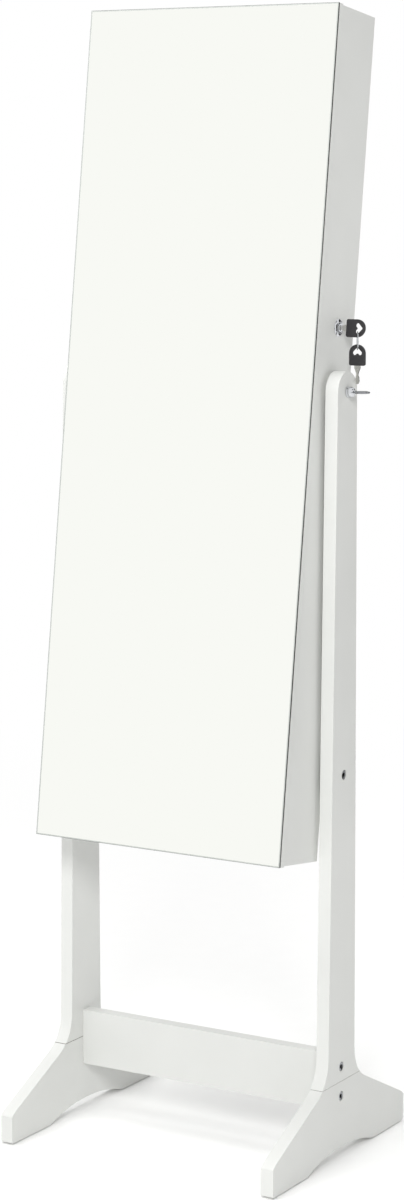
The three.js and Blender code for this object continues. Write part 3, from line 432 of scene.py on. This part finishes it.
def rounded_plate(outline, corners, thick, ease, hole=(), hole_corners=()):
    """A flat plate in the X-Z plane, its corners rounded and its rims eased, perhaps with a hole."""
    mesh = bmesh.new()
    for points, radii in ((outline, corners), (hole, hole_corners)):
        line = [mesh.verts.new((x, 0.0, z)) for x, z in points]
        for i, corner in enumerate(line):
            mesh.edges.new((line[i - 1], corner))
        for corner, radius in zip(line, radii):
            if radius:
                round_off(mesh, [corner], radius, 10, "VERTICES")
    bmesh.ops.remove_doubles(mesh, verts=mesh.verts, dist=0.02)
    bmesh.ops.triangle_fill(mesh, use_beauty=True, edges=mesh.edges)
    bmesh.ops.recalc_face_normals(mesh, faces=mesh.faces)
    raised = bmesh.ops.extrude_face_region(mesh, geom=mesh.faces[:])
    top = [g for g in raised["geom"] if isinstance(g, bmesh.types.BMVert)]
    bmesh.ops.translate(mesh, verts=top, vec=(0, thick, 0))
    bmesh.ops.translate(mesh, verts=mesh.verts, vec=(0, -thick / 2, 0))
    bmesh.ops.recalc_face_normals(mesh, faces=mesh.faces)
    rims = [e for e in mesh.edges if e.is_manifold and e.calc_face_angle() > math.radians(60)]
    round_off(mesh, rims, ease, 3)
    shade_smooth(mesh, math.radians(40))
    return mesh


def gather(*meshes):
    """Several bmeshes as one."""
    data = bpy.data.meshes.new("gathered")
    first, *others = meshes
    for other in others:
        other.to_mesh(data)
        other.free()
        first.from_mesh(data)
    bpy.data.meshes.remove(data)
    return first


joints = {joint["name"]: joint for joint in frame["joints"]}
pivot = Vector(joints["cabinet_tilt"]["pos_m"])
# Takes what is drawn in millimetres about the pivot to its place on the stand
stand_place = Matrix.Translation(pivot) @ Matrix.Scale(MM, 4)


def disc(radius, steps=24):
    """The outline of a round head."""
    turns = [2 * math.pi * i / steps for i in range(steps)]
    return [(radius * math.cos(turn), radius * math.sin(turn)) for turn in turns]


def cross(reach, half):
    """The outline of a cross recess."""
    quarter = [(half, half), (half, reach), (-half, reach)]
    quarter_turns = ((1, 0), (0, 1), (-1, 0), (0, -1))
    return [(x * c - z * k, x * k + z * c) for c, k in quarter_turns for x, z in quarter]


def heads(places, radius, thick, ease, recess):
    """Round screw heads in the X-Z plane, at places in millimetres, with a recess right through."""
    made = []
    for place in places:
        head = rounded_plate(disc(radius), (), thick, ease, recess, ())
        bmesh.ops.translate(head, verts=head.verts, vec=place)
        made.append(head)
    return gather(*made)


# Bolt heads left black by their heat treatment, the black also standing as painted shade of the recesses
# they sit in: nearly black, oily, with a mottle 2 mm across
burnt_and_recess_shade, tree, shader, at = finish_for("heat_blackened_steel_recess_shade", "232324", 0.4, 0.6)
scale_film = add(tree, "ShaderNodeTexNoise", [("Vector", at), ("Scale", 1 / (2 * MM)), ("Detail", 3.0)])
oil = add(tree, "ShaderNodeMapRange",
          [("Value", scale_film.outputs["Fac"]), ("To Min", 0.3), ("To Max", 0.52)])
tree.links.new(oil.outputs["Result"], shader.inputs["Roughness"])

for side in ("left", "right"):
    for place in ("upper_rail", "lower_rail_top", "lower_rail_bottom"):
        bolt = eased(f"{side}_{place}_bolt", f"{side}_{place}_socket_bolt", STEEL_EASE, "zinc_steel",
                     zinc, burnt_and_recess_shade)
        low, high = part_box(f"{side}_{place}_bolt")
        middle = (low + high) / 2
        outer = low.x if side == "left" else high.x
        # The head is painted black, partly its steel's own colour and partly painted shade of its recess;
        # the socket's floor stays bright zinc, a painted highlight
        for face in bolt.data.polygons:
            from_axis = (face.center - middle).yz.length
            socket_floor_highlight = abs(face.normal.x) > 0.9 and from_axis < SOCKET_REACH
            if abs(face.center.x - outer) < HEAD_DEPTH and not socket_floor_highlight:
                face.material_index = 1
        # The head stands nearer the board's face than its solid, so that it shows as the real one does
        for vertex in bolt.data.vertices:
            if abs(vertex.co.x - outer) < HEAD_DEPTH:
                vertex.co.x += math.copysign(HEAD_RISE, outer)
        dressed(f"{side}_{place}_barrel_nut", zinc)
    for end in ("front", "rear"):
        dressed(f"{side}_{end}_dowel", beech)
        eased(f"{side}_{end}_glide", f"{side}_{end}_nylon_glide", NYLON_EASE, "glide_plastic", nylon)
    eased(f"{side}_pivot_spacer", f"{side}_spacer_ring", NYLON_EASE, "spacer_plastic", nylon)
    dressed(f"{side}_insert_nut", zinc)
eased("left_pivot_bolt", "left_pivot_screw", STEEL_EASE, "zinc_steel", zinc)

# The slotted ends of the barrel nuts, which a screwdriver turns to line them up
slotted = []
for side in ("left", "right"):
    for place in ("upper_rail", "lower_rail_top", "lower_rail_bottom"):
        low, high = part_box(f"{side}_{place}_barrel_nut")
        middle = (low + high) / 2 - pivot
        slotted.append((middle.x / MM, NUT_FACE + 0.15, middle.z / MM))
slot_faces = heads(slotted, NUT_RADIUS, NUT_FACE_THICK, 0.1, NUT_SLOT)
bmesh.ops.transform(slot_faces, matrix=stand_place, verts=slot_faces.verts)
shown("barrel_nut_slotted_faces", slot_faces, "stand", "zinc_steel", zinc)


# ---- Clamp screw
# The right pivot: a steel screw whose turned and chromed collar carries a wire ring for a finger,
# which is turned to press the cabinet's side and hold its tilt.

# In millimetres: (radius, distance from the upright), and distances from the pivot
COLLAR_OUTLINE = (
    (0.0, 0.0), (6.4, 0.0), (7.0, 0.5), (7.0, 1.3), (6.5, 1.8), (6.5, 2.4), (7.0, 2.9), (7.0, 4.3),
    (6.8, 5.6), (6.2, 7.2), (5.2, 8.6), (3.9, 9.6), (3.0, 10.0), (2.3, 10.4), (2.2, 12.0), (0.0, 12.0),
)
SHAFT_RADIUS = 4.0
SHAFT_CHAMFER = 0.8
SHAFT_START = 172.5
CLAMP_START = 208.8
COLLAR_SHOULDER = 10.0
RING_RADIUS = 9.0
RING_WIRE = 1.35
TURNS = 48


def lathe(outline, steps=TURNS):
    """Turns an outline of (radius, distance) about the X axis into a closed solid, in millimetres."""
    mesh = bmesh.new()
    line = [mesh.verts.new((x, 0.0, r)) for r, x in outline]
    edges = [mesh.edges.new(pair) for pair in zip(line, line[1:])]
    bmesh.ops.spin(mesh, geom=line + edges, cent=(0, 0, 0), axis=(1, 0, 0), angle=2 * math.pi,
                   steps=steps, use_merge=True)
    bmesh.ops.remove_doubles(mesh, verts=mesh.verts, dist=0.002)
    bmesh.ops.recalc_face_normals(mesh, faces=mesh.faces)
    shade_smooth(mesh, math.radians(35))
    return mesh


def wire_ring(radius, wire, steps=64, sides=16):
    """A round wire bent to a closed ring about the Z axis, in millimetres."""
    mesh = bmesh.new()
    stood_up = Matrix.Translation((radius, 0, 0)) @ Matrix.Rotation(math.pi / 2, 4, "X")
    section = bmesh.ops.create_circle(mesh, segments=sides, radius=wire, matrix=stood_up)
    bmesh.ops.spin(mesh, geom=section["verts"] + mesh.edges[:], cent=(0, 0, 0), axis=(0, 0, 1),
                   angle=2 * math.pi, steps=steps, use_merge=True)
    bmesh.ops.remove_doubles(mesh, verts=mesh.verts, dist=0.002)
    bmesh.ops.recalc_face_normals(mesh, faces=mesh.faces)
    for face in mesh.faces:
        face.smooth = True
    return mesh


# Bright chromium on polished steel: mirror-like, with a faint cloud of polishing marks 0.4 mm across
chrome, tree, shader, at = finish_for("polished_chrome", "d3d5d8", 0.07, 1.0)
rubbed = add(tree, "ShaderNodeTexNoise", [("Vector", at), ("Scale", 1 / (0.4 * MM)), ("Detail", 2.0)])
rub = add(tree, "ShaderNodeBump",
          [("Height", rubbed.outputs["Fac"]), ("Strength", 0.06), ("Distance", 0.05 * MM)])
tree.links.new(rub.outputs["Normal"], shader.inputs["Normal"])
wipe = add(tree, "ShaderNodeMapRange",
           [("Value", rubbed.outputs["Fac"]), ("To Min", 0.04), ("To Max", 0.13)])
tree.links.new(wipe.outputs["Result"], shader.inputs["Roughness"])

# Drawn steel wire, oiled and not plated: darker than the collar, with a mottle 0.6 mm across
steel_wire, tree, shader, at = finish_for("drawn_steel_wire", "949699", 0.2, 1.0)
pull = add(tree, "ShaderNodeTexNoise", [("Vector", at), ("Scale", 1 / (0.6 * MM)), ("Detail", 2.0)])
oiled = add(tree, "ShaderNodeValToRGB", [("Fac", pull.outputs["Fac"])])
oiled.color_ramp.elements[0].color = linear("7f8184")
oiled.color_ramp.elements[1].color = linear("a9abae")
tree.links.new(oiled.outputs["Color"], shader.inputs["Base Color"])

collar = lathe(COLLAR_OUTLINE)
bmesh.ops.translate(collar, verts=collar.verts, vec=(CLAMP_START, 0, 0))
shaft_end = CLAMP_START + 1
shaft = lathe(((0.0, SHAFT_START), (SHAFT_RADIUS - SHAFT_CHAMFER, SHAFT_START),
               (SHAFT_RADIUS, SHAFT_START + SHAFT_CHAMFER), (SHAFT_RADIUS, shaft_end), (0.0, shaft_end)),
              steps=32)
finger = wire_ring(RING_RADIUS, RING_WIRE)
for face in finger.faces:
    face.material_index = 1
finger_x = CLAMP_START + COLLAR_SHOULDER + RING_WIRE + RING_RADIUS
bmesh.ops.translate(finger, verts=finger.verts, vec=(finger_x, 0, 0))
clamp = gather(collar, shaft, finger)
bmesh.ops.transform(clamp, matrix=stand_place, verts=clamp.verts)
clamp_piece = shown("clamp_screw_chromed", clamp, "clamp_screw", "chrome", chrome, steel_wire)
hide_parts("clamp_screw")


# ---- Cabinet
# A shallow box of 12 mm fibreboard with a thin back let in behind, two shelves and the same white
# lacquer as the stand. It hangs between the uprights, its top leaning back.

PANEL_EASE = 0.8
PANELS = ("left_side_panel", "right_side_panel", "top_panel", "bottom_panel", "back_panel", "upper_shelf",
          "lower_shelf")
# In millimetres, across, back and up from the pivot, along the cabinet's own sides
BACK_SCREW_SIDE = 165.0
BACK_SCREW_FACE = 47.9
BACK_SCREW_HEIGHTS = (-570, -360, -180, 30, 240, 450)
BACK_SCREW_ENDS = (-586, 466)
# Radius, thickness and easing of a pan head
PAN_HEAD = (3.0, 1.4, 0.5)

# Takes what is drawn in millimetres in the cabinet's own frame to its place, leaning back
upright_axis = -Vector(joints["door_swing"]["axis"])
lean = Vector((0, 0, 1)).rotation_difference(upright_axis).to_matrix().to_4x4()
cabinet_frame = Matrix.Translation(pivot) @ lean
cabinet_place = cabinet_frame @ Matrix.Scale(MM, 4)

for panel in PANELS:
    eased(panel, f"{panel}_board", PANEL_EASE, "white_board", lacquer)

# Small pan-head screws that hold the back, along its two sides and its ends
back_seats = [(side * BACK_SCREW_SIDE, BACK_SCREW_FACE, z) for side in (-1, 1) for z in BACK_SCREW_HEIGHTS]
back_seats += [(0.0, BACK_SCREW_FACE, z) for z in BACK_SCREW_ENDS]
back_screws = heads(back_seats, *PAN_HEAD, cross(1.7, 0.45))
bmesh.ops.transform(back_screws, matrix=cabinet_place, verts=back_screws.verts)
shown("back_panel_screws", back_screws, "cabinet", "zinc_steel", zinc)


# ---- Door and mirror
# A 9 mm lacquered board that covers the whole front, with a 3 mm float-glass mirror glued on its
# face. The glass is silvered behind, and its edges are ground and look dark.

DOOR_EASE = 0.6
MIRROR_ARRIS = 0.5
SILVER_MARGIN = 1.4 * MM

# Silvered float glass: a clean mirror, a touch warm and green, with the faintest ripple of the float
silver, tree, shader, at = finish_for("silvered_glass", "f8f9f4", 0.015, 1.0)
ripple = add(tree, "ShaderNodeTexNoise", [("Vector", at), ("Scale", 1 / (220 * MM)), ("Detail", 1.0)])
float_wave = add(tree, "ShaderNodeBump",
                 [("Height", ripple.outputs["Fac"]), ("Strength", 0.05), ("Distance", 0.4 * MM)])
tree.links.new(float_wave.outputs["Normal"], shader.inputs["Normal"])
haze = add(tree, "ShaderNodeMapRange",
           [("Value", ripple.outputs["Fac"]), ("To Min", 0.008), ("To Max", 0.03)])
tree.links.new(haze.outputs["Result"], shader.inputs["Roughness"])

# The ground edge of silvered float glass: dark grey, as little light gets in, with wheel marks drawn
# at 1.2 mm
edge_glass, tree, shader, at = finish_for("ground_glass_edge", "4c4e4c", 0.22, IOR=1.52)
wheel = add(tree, "ShaderNodeTexNoise", [("Vector", at), ("Scale", 1 / (1.2 * MM)), ("Detail", 2.0)])
grind = add(tree, "ShaderNodeValToRGB", [("Fac", wheel.outputs["Fac"])])
grind.color_ramp.elements[0].color = linear("3e3e3d")
grind.color_ramp.elements[1].color = linear("5c5c5a")
tree.links.new(grind.outputs["Color"], shader.inputs["Base Color"])

# The narrow bare margin of the glass, outside the silver: a grey line with the board showing through
margin_glass, tree, shader, at = finish_for("bare_glass_margin", "b9bdb9", 0.06, IOR=1.52)
film = add(tree, "ShaderNodeTexNoise", [("Vector", at), ("Scale", 1 / (9 * MM)), ("Detail", 2.0)])
tint = add(tree, "ShaderNodeValToRGB", [("Fac", film.outputs["Fac"])])
tint.color_ramp.elements[0].color = linear("adb2ae")
tint.color_ramp.elements[1].color = linear("c3c6c2")
tree.links.new(tint.outputs["Color"], shader.inputs["Base Color"])

eased("door_panel", "door_board", DOOR_EASE, "white_board", lacquer)

glass = whole("mirror_glass")
front_normal = cabinet_frame.to_3x3() @ Vector((0, -1, 0))
soften(glass, MIRROR_ARRIS, 2)
for face in glass.faces:
    face.material_index = 1
front = max(glass.faces, key=lambda face: face.normal.dot(front_normal) * face.calc_area())
inner = bmesh.ops.inset_region(glass, faces=[front], thickness=SILVER_MARGIN, use_even_offset=True)
front.material_index = 0
for face in inner["faces"]:
    face.material_index = 2
mirror = shown("silvered_mirror", glass, "door", "mirror", silver, edge_glass, margin_glass)
even_out(mirror)
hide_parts("mirror_glass")


# ---- Hinges
# Two small butt hinges of bright nickel-plated steel, let into the left edges of the cabinet and
# the door, each leaf held by three countersunk screws.

# In millimetres, in the cabinet's frame
HINGE_HEIGHTS = (400, -500)
HINGE_SCREW_STEPS = (-17, 0, 17)
HINGE_SCREWS = {
    # leaf and its body: (across to the middle of the leaf, the screws' middle plane)
    "cabinet": (-178.5, -38.35),
    "door": (-179.5, -38.95),
}
CROSS_SMALL = cross(1.5, 0.4)
COUNTERSUNK_HEAD = (2.6, 0.4, 0.08)
LEAF_EASE = 0.2

# Nickel plate over rolled steel: warm bright metal with drawn lines up and down, 0.5 mm apart
nickel, tree, shader, at = finish_for("nickel_plate", "c4c2bc", 0.24, 1.0)
drawn = add(tree, "ShaderNodeMapping", [("Vector", at), ("Scale", (1.0, 1.0, 0.06))])
streak = add(tree, "ShaderNodeTexNoise",
             [("Vector", drawn.outputs["Vector"]), ("Scale", 1 / (0.5 * MM)), ("Detail", 2.0)])
lay = add(tree, "ShaderNodeMapRange",
          [("Value", streak.outputs["Fac"]), ("To Min", 0.16), ("To Max", 0.34)])
tree.links.new(lay.outputs["Result"], shader.inputs["Roughness"])
drag = add(tree, "ShaderNodeBump",
           [("Height", streak.outputs["Fac"]), ("Strength", 0.1), ("Distance", 0.05 * MM)])
tree.links.new(drag.outputs["Normal"], shader.inputs["Normal"])

for place in ("upper", "lower"):
    for part in ("cabinet_leaf", "door_leaf", "pin"):
        eased(f"{place}_hinge_{part}", f"{place}_hinge_{part}_plated", LEAF_EASE, "nickel", nickel,
              segments=2)

# Countersunk cross-head screws, three to a leaf, a hair proud of it
for leaf, (middle, plane) in HINGE_SCREWS.items():
    seats = [(middle, plane, height + step) for height in HINGE_HEIGHTS for step in HINGE_SCREW_STEPS]
    screws = heads(seats, *COUNTERSUNK_HEAD, CROSS_SMALL)
    bmesh.ops.transform(screws, matrix=cabinet_place, verts=screws.verts)
    shown(f"{leaf}_hinge_screws", screws, leaf, "nickel", nickel)


# ---- Lock
# A cam lock: a threaded barrel with a flange outside the right panel, cast in zinc and chromed, a
# nut inside, and a plug that the key turns. Its hooked cam swings behind a staple on the door.

# In millimetres, in the cabinet's frame; the outline is (radius, distance out from the panel)
LOCK_Y = 8.4
LOCK_Z = 81.7
FLANGE_SEAT = 184.8
BORE = 5.85
THREAD_START = -2.0
FLANGE_OUTLINE = (
    (BORE, THREAD_START), (BORE, 1.5), (6.1, 2.0), (6.6, 2.3), (7.3, 2.35), (8.1, 2.25), (9.0, 1.95),
    (9.9, 1.5), (10.7, 0.95), (11.3, 0.45), (11.5, 0.15), (11.4, 0.0), (8.9, 0.0), (8.9, THREAD_START),
)
THREAD_PITCH = 1.5
THREAD_TURNS = 12
THREAD_CREST = 8.95
THREAD_ROOT = 8.3
BARREL_TIP = 8.6
NUT_EASE = 0.4
PLUG_EASE = 0.3
STAMPED_EASE = 0.25

thread = [(BORE, THREAD_START)]
for turn in range(THREAD_TURNS):
    foot_x = THREAD_START - turn * THREAD_PITCH
    thread += [(THREAD_CREST, foot_x), (THREAD_ROOT, foot_x - THREAD_PITCH / 2)]
barrel_end = THREAD_START - THREAD_TURNS * THREAD_PITCH
thread += [(BARREL_TIP, barrel_end), (BORE, barrel_end), (BORE, THREAD_START)]
flange = lathe(FLANGE_OUTLINE + FLANGE_OUTLINE[:1])
barrel = lathe(thread)
lock_body = gather(flange, barrel)
lock_place = cabinet_place @ Matrix.Translation((FLANGE_SEAT, LOCK_Y, LOCK_Z))
bmesh.ops.transform(lock_body, matrix=lock_place, verts=lock_body.verts)
lock_piece = shown("lock_body_chromed", lock_body, "cabinet", "chrome", chrome)
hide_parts("lock_body")
eased("lock_nut", "lock_ring_nut", NUT_EASE, "chrome", chrome)
eased("lock_plug", "lock_plug_turned", PLUG_EASE, "chrome", chrome)
eased("lock_cam", "lock_cam_stamped", STAMPED_EASE, "zinc_steel", zinc)
eased("lock_strike", "lock_staple", STAMPED_EASE, "zinc_steel", zinc)


# ---- Keys and their ring
# Two flat keys of nickel silver, each with a black moulded head that has a soft chevron hole, on a
# sprung wire ring. One is in the lock and the other hangs from it.

# In millimetres, along the key from where its head begins, and to either side
HEAD_LENGTH = 27.0
HEAD_HALF = 11.5
HEAD_THICK = 2.4
HEAD_CORNER = 2.6
HEAD_EASE = 0.6
HOLE_TIP = 19.8
HOLE_HALF = 2.9
HOLE_SPREAD = 3.8
HOLE_SWEEP = 3.6
BLADE_THICK = 1.8
BLADE_EASE = 0.25
BLADE_EDGE = ((0.5, 4.3), (-3.0, 4.3), (-9.6, 1.5), (-12.6, 1.5), (-16.4, 3.0), (-20.2, 3.0), (-23.7, 1.3))
BLADE_ROUNDING = (0, 1.0, 2.2, 1.2, 1.6, 1.4, 0.7)
GROOVE_RIM = 0.75
GROOVE_DEPTH = 0.35
KEY_RING_RADIUS = 11.5
KEY_RING_WIRE = 0.75
KEY_RING_TURN = math.radians(31)
SPARE_HANG = 20.2

# Moulded ABS: near black, with the spark-eroded grain of the mould, 0.5 mm across, and a low sheen
abs_black, tree, shader, at = finish_for("moulded_abs", "242325", 0.42, IOR=1.53)
spark = add(tree, "ShaderNodeTexNoise", [("Vector", at), ("Scale", 1 / (0.5 * MM)), ("Detail", 2.0)])
grainy = add(tree, "ShaderNodeBump",
             [("Height", spark.outputs["Fac"]), ("Strength", 0.25), ("Distance", 0.06 * MM)])
tree.links.new(grainy.outputs["Normal"], shader.inputs["Normal"])
worn = add(tree, "ShaderNodeMapRange",
           [("Value", spark.outputs["Fac"]), ("To Min", 0.34), ("To Max", 0.52)])
tree.links.new(worn.outputs["Result"], shader.inputs["Roughness"])

# Nickel silver, milled: a warm grey metal with a slight roughness left by the cutter, 0.6 mm across
milled, tree, shader, at = finish_for("milled_nickel_silver", "c6c5c1", 0.24, 1.0)
cutter = add(tree, "ShaderNodeTexNoise", [("Vector", at), ("Scale", 1 / (0.6 * MM)), ("Detail", 2.0)])
marks = add(tree, "ShaderNodeBump",
            [("Height", cutter.outputs["Fac"]), ("Strength", 0.2), ("Distance", 0.08 * MM)])
tree.links.new(marks.outputs["Normal"], shader.inputs["Normal"])
bright = add(tree, "ShaderNodeValToRGB", [("Fac", cutter.outputs["Fac"])])
bright.color_ramp.elements[0].color = linear("b4b3af")
bright.color_ramp.elements[1].color = linear("dbdad6")
tree.links.new(bright.outputs["Color"], shader.inputs["Base Color"])


def key_head():
    """The moulded head of a key, round at its far end, with the chevron hole."""
    arm = math.hypot(HOLE_SPREAD, HOLE_SWEEP)
    ux, uz = -HOLE_SWEEP / arm, HOLE_SPREAD / arm
    nose = HOLE_HALF / uz
    end_x = HOLE_TIP - HOLE_SWEEP + HOLE_HALF * ux
    end_z = HOLE_SPREAD + HOLE_HALF * uz
    out_x, out_z = HOLE_HALF * uz, -HOLE_HALF * ux
    hole = [(HOLE_TIP + nose, 0.0), (end_x + out_x, end_z + out_z), (end_x - out_x, end_z - out_z),
            (HOLE_TIP - nose, 0.0), (end_x - out_x, -end_z + out_z), (end_x + out_x, -end_z - out_z)]
    outline = [(0.0, -HEAD_HALF), (HEAD_LENGTH, -HEAD_HALF), (HEAD_LENGTH, HEAD_HALF), (0.0, HEAD_HALF)]
    far = HEAD_HALF - 0.01
    end = HOLE_HALF - 0.05
    return rounded_plate(outline, (HEAD_CORNER, far, far, HEAD_CORNER), HEAD_THICK, HEAD_EASE,
                         hole, (1.6, end, end, 1.0, end, end))


def key_blade():
    """The waisted blade of a key, milled down on both faces inside a narrow rim."""
    outline = BLADE_EDGE + tuple((x, -z) for x, z in reversed(BLADE_EDGE))
    blade = rounded_plate(outline, BLADE_ROUNDING + BLADE_ROUNDING[::-1], BLADE_THICK, BLADE_EASE)
    flats = [face for face in blade.faces if abs(face.normal.y) > 0.99]
    bmesh.ops.inset_region(blade, faces=flats, thickness=GROOVE_RIM, depth=-GROOVE_DEPTH,
                           use_even_offset=True)
    for edge in blade.edges:
        edge.smooth = edge.calc_face_angle(0) < math.radians(25)
    return blade


def key_pieces(name, node, matrix):
    """A key's moulded head and its blade, which is set in the head."""
    head = key_head()
    blade = key_blade()
    for mesh in (head, blade):
        bmesh.ops.transform(mesh, matrix=matrix, verts=mesh.verts)
    body = body_of(node)
    moulded = shown(f"{name}_head", head, body, "key_plastic", abs_black)
    shown(f"{name}_blade", blade, body, "nickel", milled)
    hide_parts(node)


key_seat = (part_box("key")[1].x - pivot.x) / MM - HEAD_LENGTH
key_pieces("inserted_key", "key", cabinet_place @ Matrix.Translation((key_seat, LOCK_Y, LOCK_Z)))
ring_seat = Vector(joints["key_ring_swing"]["pos_m"])
ring_foot = Vector(joints["spare_key_swing"]["pos_m"])

ring = wire_ring(KEY_RING_RADIUS, KEY_RING_WIRE, 72, 12)
ring_turn = Matrix.Rotation(KEY_RING_TURN, 4, "Z") @ Matrix.Rotation(math.pi / 2, 4, "Y")
ring_place = (Matrix.Translation(ring_seat) @ Matrix.Scale(MM, 4)
              @ Matrix.Translation((0, 0, -KEY_RING_RADIUS)) @ ring_turn)
bmesh.ops.transform(ring, matrix=ring_place, verts=ring.verts)
ring_piece = shown("key_ring_wire", ring, "key_ring", "chrome", chrome)
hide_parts("key_ring")
key_pieces("spare_key", "spare_key", Matrix.Translation(ring_foot) @ Matrix.Scale(MM, 4)
           @ Matrix.Translation((0, 0, -SPARE_HANG)) @ Matrix.Rotation(-math.pi / 2, 4, "Y"))


# ---- Fittings inside the cabinet
# A hook rail held by three screws and an earring rack, both moulded in black polystyrene, and a
# magnet catch of white plastic with its steel plate on the door.

# In millimetres, in the cabinet's frame
RAIL_SCREWS = [(across, 38.9, 428.5) for across in (-134.0, 0.0, 134.0)]
POLE_HEIGHTS = (-443.0, -437.0)
POLE_SPAN = (161.5, 170.9)
POLE_HALF = 0.8
POLE_PLANE = -37.15
POLE_THICK = 0.4
SMALL_HEAD = (2.6, 1.2, 0.4)

# Moulded polystyrene: black with an even grain 0.9 mm across, a little shinier than the key heads
styrene, tree, shader, at = finish_for("moulded_polystyrene", "1f1e20", 0.34, IOR=1.59)
grit = add(tree, "ShaderNodeTexNoise", [("Vector", at), ("Scale", 1 / (0.9 * MM)), ("Detail", 2.0)])
fine = add(tree, "ShaderNodeBump",
           [("Height", grit.outputs["Fac"]), ("Strength", 0.2), ("Distance", 0.08 * MM)])
tree.links.new(fine.outputs["Normal"], shader.inputs["Normal"])
glint = add(tree, "ShaderNodeMapRange",
            [("Value", grit.outputs["Fac"]), ("To Min", 0.28), ("To Max", 0.42)])
tree.links.new(glint.outputs["Result"], shader.inputs["Roughness"])

eased("necklace_hook_rail", "hook_rail_moulded", 0.5, "black_plastic", styrene)
eased("earring_rack", "earring_rack_moulded", 0.4, "black_plastic", styrene)
eased("magnet_catch", "magnet_catch_moulded", 0.7, "white_plastic", nylon)
eased("magnet_plate", "magnet_plate_steel", 0.3, "zinc_steel", zinc)

# The three screws of the hook rail
rail_screws = heads(RAIL_SCREWS, *SMALL_HEAD, CROSS_SMALL)
bmesh.ops.transform(rail_screws, matrix=cabinet_place, verts=rail_screws.verts)
shown("hook_rail_screws", rail_screws, "cabinet", "zinc_steel", zinc)

# The two steel pole strips of the magnet, which meet the plate on the door
poles = []
near, far = POLE_SPAN
for height in POLE_HEIGHTS:
    below, above = height - POLE_HALF, height + POLE_HALF
    pole = rounded_plate([(near, below), (far, below), (far, above), (near, above)], (), POLE_THICK, 0.1)
    bmesh.ops.translate(pole, verts=pole.verts, vec=(0, POLE_PLANE, 0))
    poles.append(pole)
pole_strips = gather(*poles)
bmesh.ops.transform(pole_strips, matrix=cabinet_place, verts=pole_strips.verts)
shown("magnet_pole_strips", pole_strips, "cabinet", "zinc_steel", zinc)


# ---- Ring cushion
# Four soft rolls of foam side by side, covered in one piece of black velvet that is drawn down into
# the channels between them and glued under the edges. Rings are pushed into the channels.

# In millimetres, in the cabinet's frame
CUSHION_HALF = 158.0
CUSHION_BASE = 18.8
CUSHION_FRONT = -29.8
CUSHION_BACK = 29.4
CUSHION_TOP = 44.8
ROLLS = 4
ROLL_ROUNDING = 3.6
CHANNEL = 0.6
SLACK = 3.0
VOXEL = 3.0
FILL_PRESSURE = 4.0
FILL_FRAMES = 20


def applied(piece):
    """Applies all of a piece's modifiers to its mesh."""
    depsgraph = bpy.context.evaluated_depsgraph_get()
    finished = bpy.data.meshes.new_from_object(piece.evaluated_get(depsgraph))
    old = piece.data
    piece.modifiers.clear()
    piece.data = finished
    bpy.data.meshes.remove(old)


def fill_with_air(piece, voxel, most):
    """Blows a closed cloth up as its filling does; no point moves further than most."""
    shell = piece.modifiers.new("shell", "REMESH")
    shell.mode = "VOXEL"
    shell.voxel_size = voxel
    applied(piece)
    start = [v.co.copy() for v in piece.data.vertices]
    cloth = piece.modifiers.new("cloth", "CLOTH")
    cloth.settings.use_pressure = True
    cloth.settings.uniform_pressure_force = FILL_PRESSURE
    cloth.settings.effector_weights.gravity = 0.0
    cloth.point_cache.frame_start = 1
    cloth.point_cache.frame_end = FILL_FRAMES
    for step in range(1, FILL_FRAMES + 1):
        bpy.context.scene.frame_set(step)
    applied(piece)
    bpy.context.scene.frame_set(1)
    for vertex, before in zip(piece.data.vertices, start):
        moved = vertex.co - before
        if moved.length > most:
            vertex.co = before + moved * (most / moved.length)
    rounder = piece.modifiers.new("rounder", "SUBSURF")
    rounder.levels = rounder.render_levels = 1
    applied(piece)
    for face in piece.data.polygons:
        face.use_smooth = True


# Cotton velvet: a dense short pile, deep grey-black, which pales where it turns away from the eye.
# The pile's tufts are drawn at 1.2 mm, and the nap lies this way and that in clouds 28 mm across
velvet, tree, shader, at = finish_for("cotton_velvet", "1c1a1f", 0.95, Sheen_Weight=0.9,
                                      Sheen_Roughness=0.35, Sheen_Tint=linear("8b8790"))
pile = add(tree, "ShaderNodeTexNoise", [("Vector", at), ("Scale", 1 / (1.2 * MM)), ("Detail", 3.0)])
nap = add(tree, "ShaderNodeTexNoise", [("Vector", at), ("Scale", 1 / (28 * MM)), ("Detail", 2.0)])
both = add(tree, "ShaderNodeMath",
           [(0, pile.outputs["Fac"]), (1, nap.outputs["Fac"])], operation="MULTIPLY")
brushed = add(tree, "ShaderNodeValToRGB", [("Fac", both.outputs["Value"])])
brushed.color_ramp.elements[0].color = linear("131216")
brushed.color_ramp.elements[1].position = 0.6
brushed.color_ramp.elements[1].color = linear("39363d")
tree.links.new(brushed.outputs["Color"], shader.inputs["Base Color"])
tuft = add(tree, "ShaderNodeBump",
           [("Height", pile.outputs["Fac"]), ("Strength", 0.6), ("Distance", 0.4 * MM)])
tree.links.new(tuft.outputs["Normal"], shader.inputs["Normal"])

# Each roll starts smaller by its slack, which the filling takes up
pitch = (CUSHION_BACK - CUSHION_FRONT) / ROLLS
roll_size = (2 * (CUSHION_HALF - SLACK - 1), pitch - 2 * SLACK - CHANNEL,
             CUSHION_TOP - CUSHION_BASE - 2 * SLACK)
roll_height = (CUSHION_TOP + CUSHION_BASE) / 2
rolls = []
for i in range(ROLLS):
    roll = bmesh.new()
    bmesh.ops.create_cube(roll, size=1.0)
    bmesh.ops.scale(roll, verts=roll.verts, vec=roll_size)
    upper = [e for e in roll.edges
             if min(v.co.z for v in e.verts) > 0 or abs((e.verts[0].co - e.verts[1].co).z) > 1]
    round_off(roll, upper, ROLL_ROUNDING, 4)
    bmesh.ops.translate(roll, verts=roll.verts, vec=(0, CUSHION_FRONT + (i + 0.5) * pitch, roll_height))
    rolls.append(roll)
cushion_mesh = gather(*rolls)
bmesh.ops.transform(cushion_mesh, matrix=cabinet_place, verts=cushion_mesh.verts)
cushion = shown("ring_cushion_velvet", cushion_mesh, "cabinet", "velvet", velvet)
fill_with_air(cushion, VOXEL * MM, SLACK * MM)
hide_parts("ring_cushion")
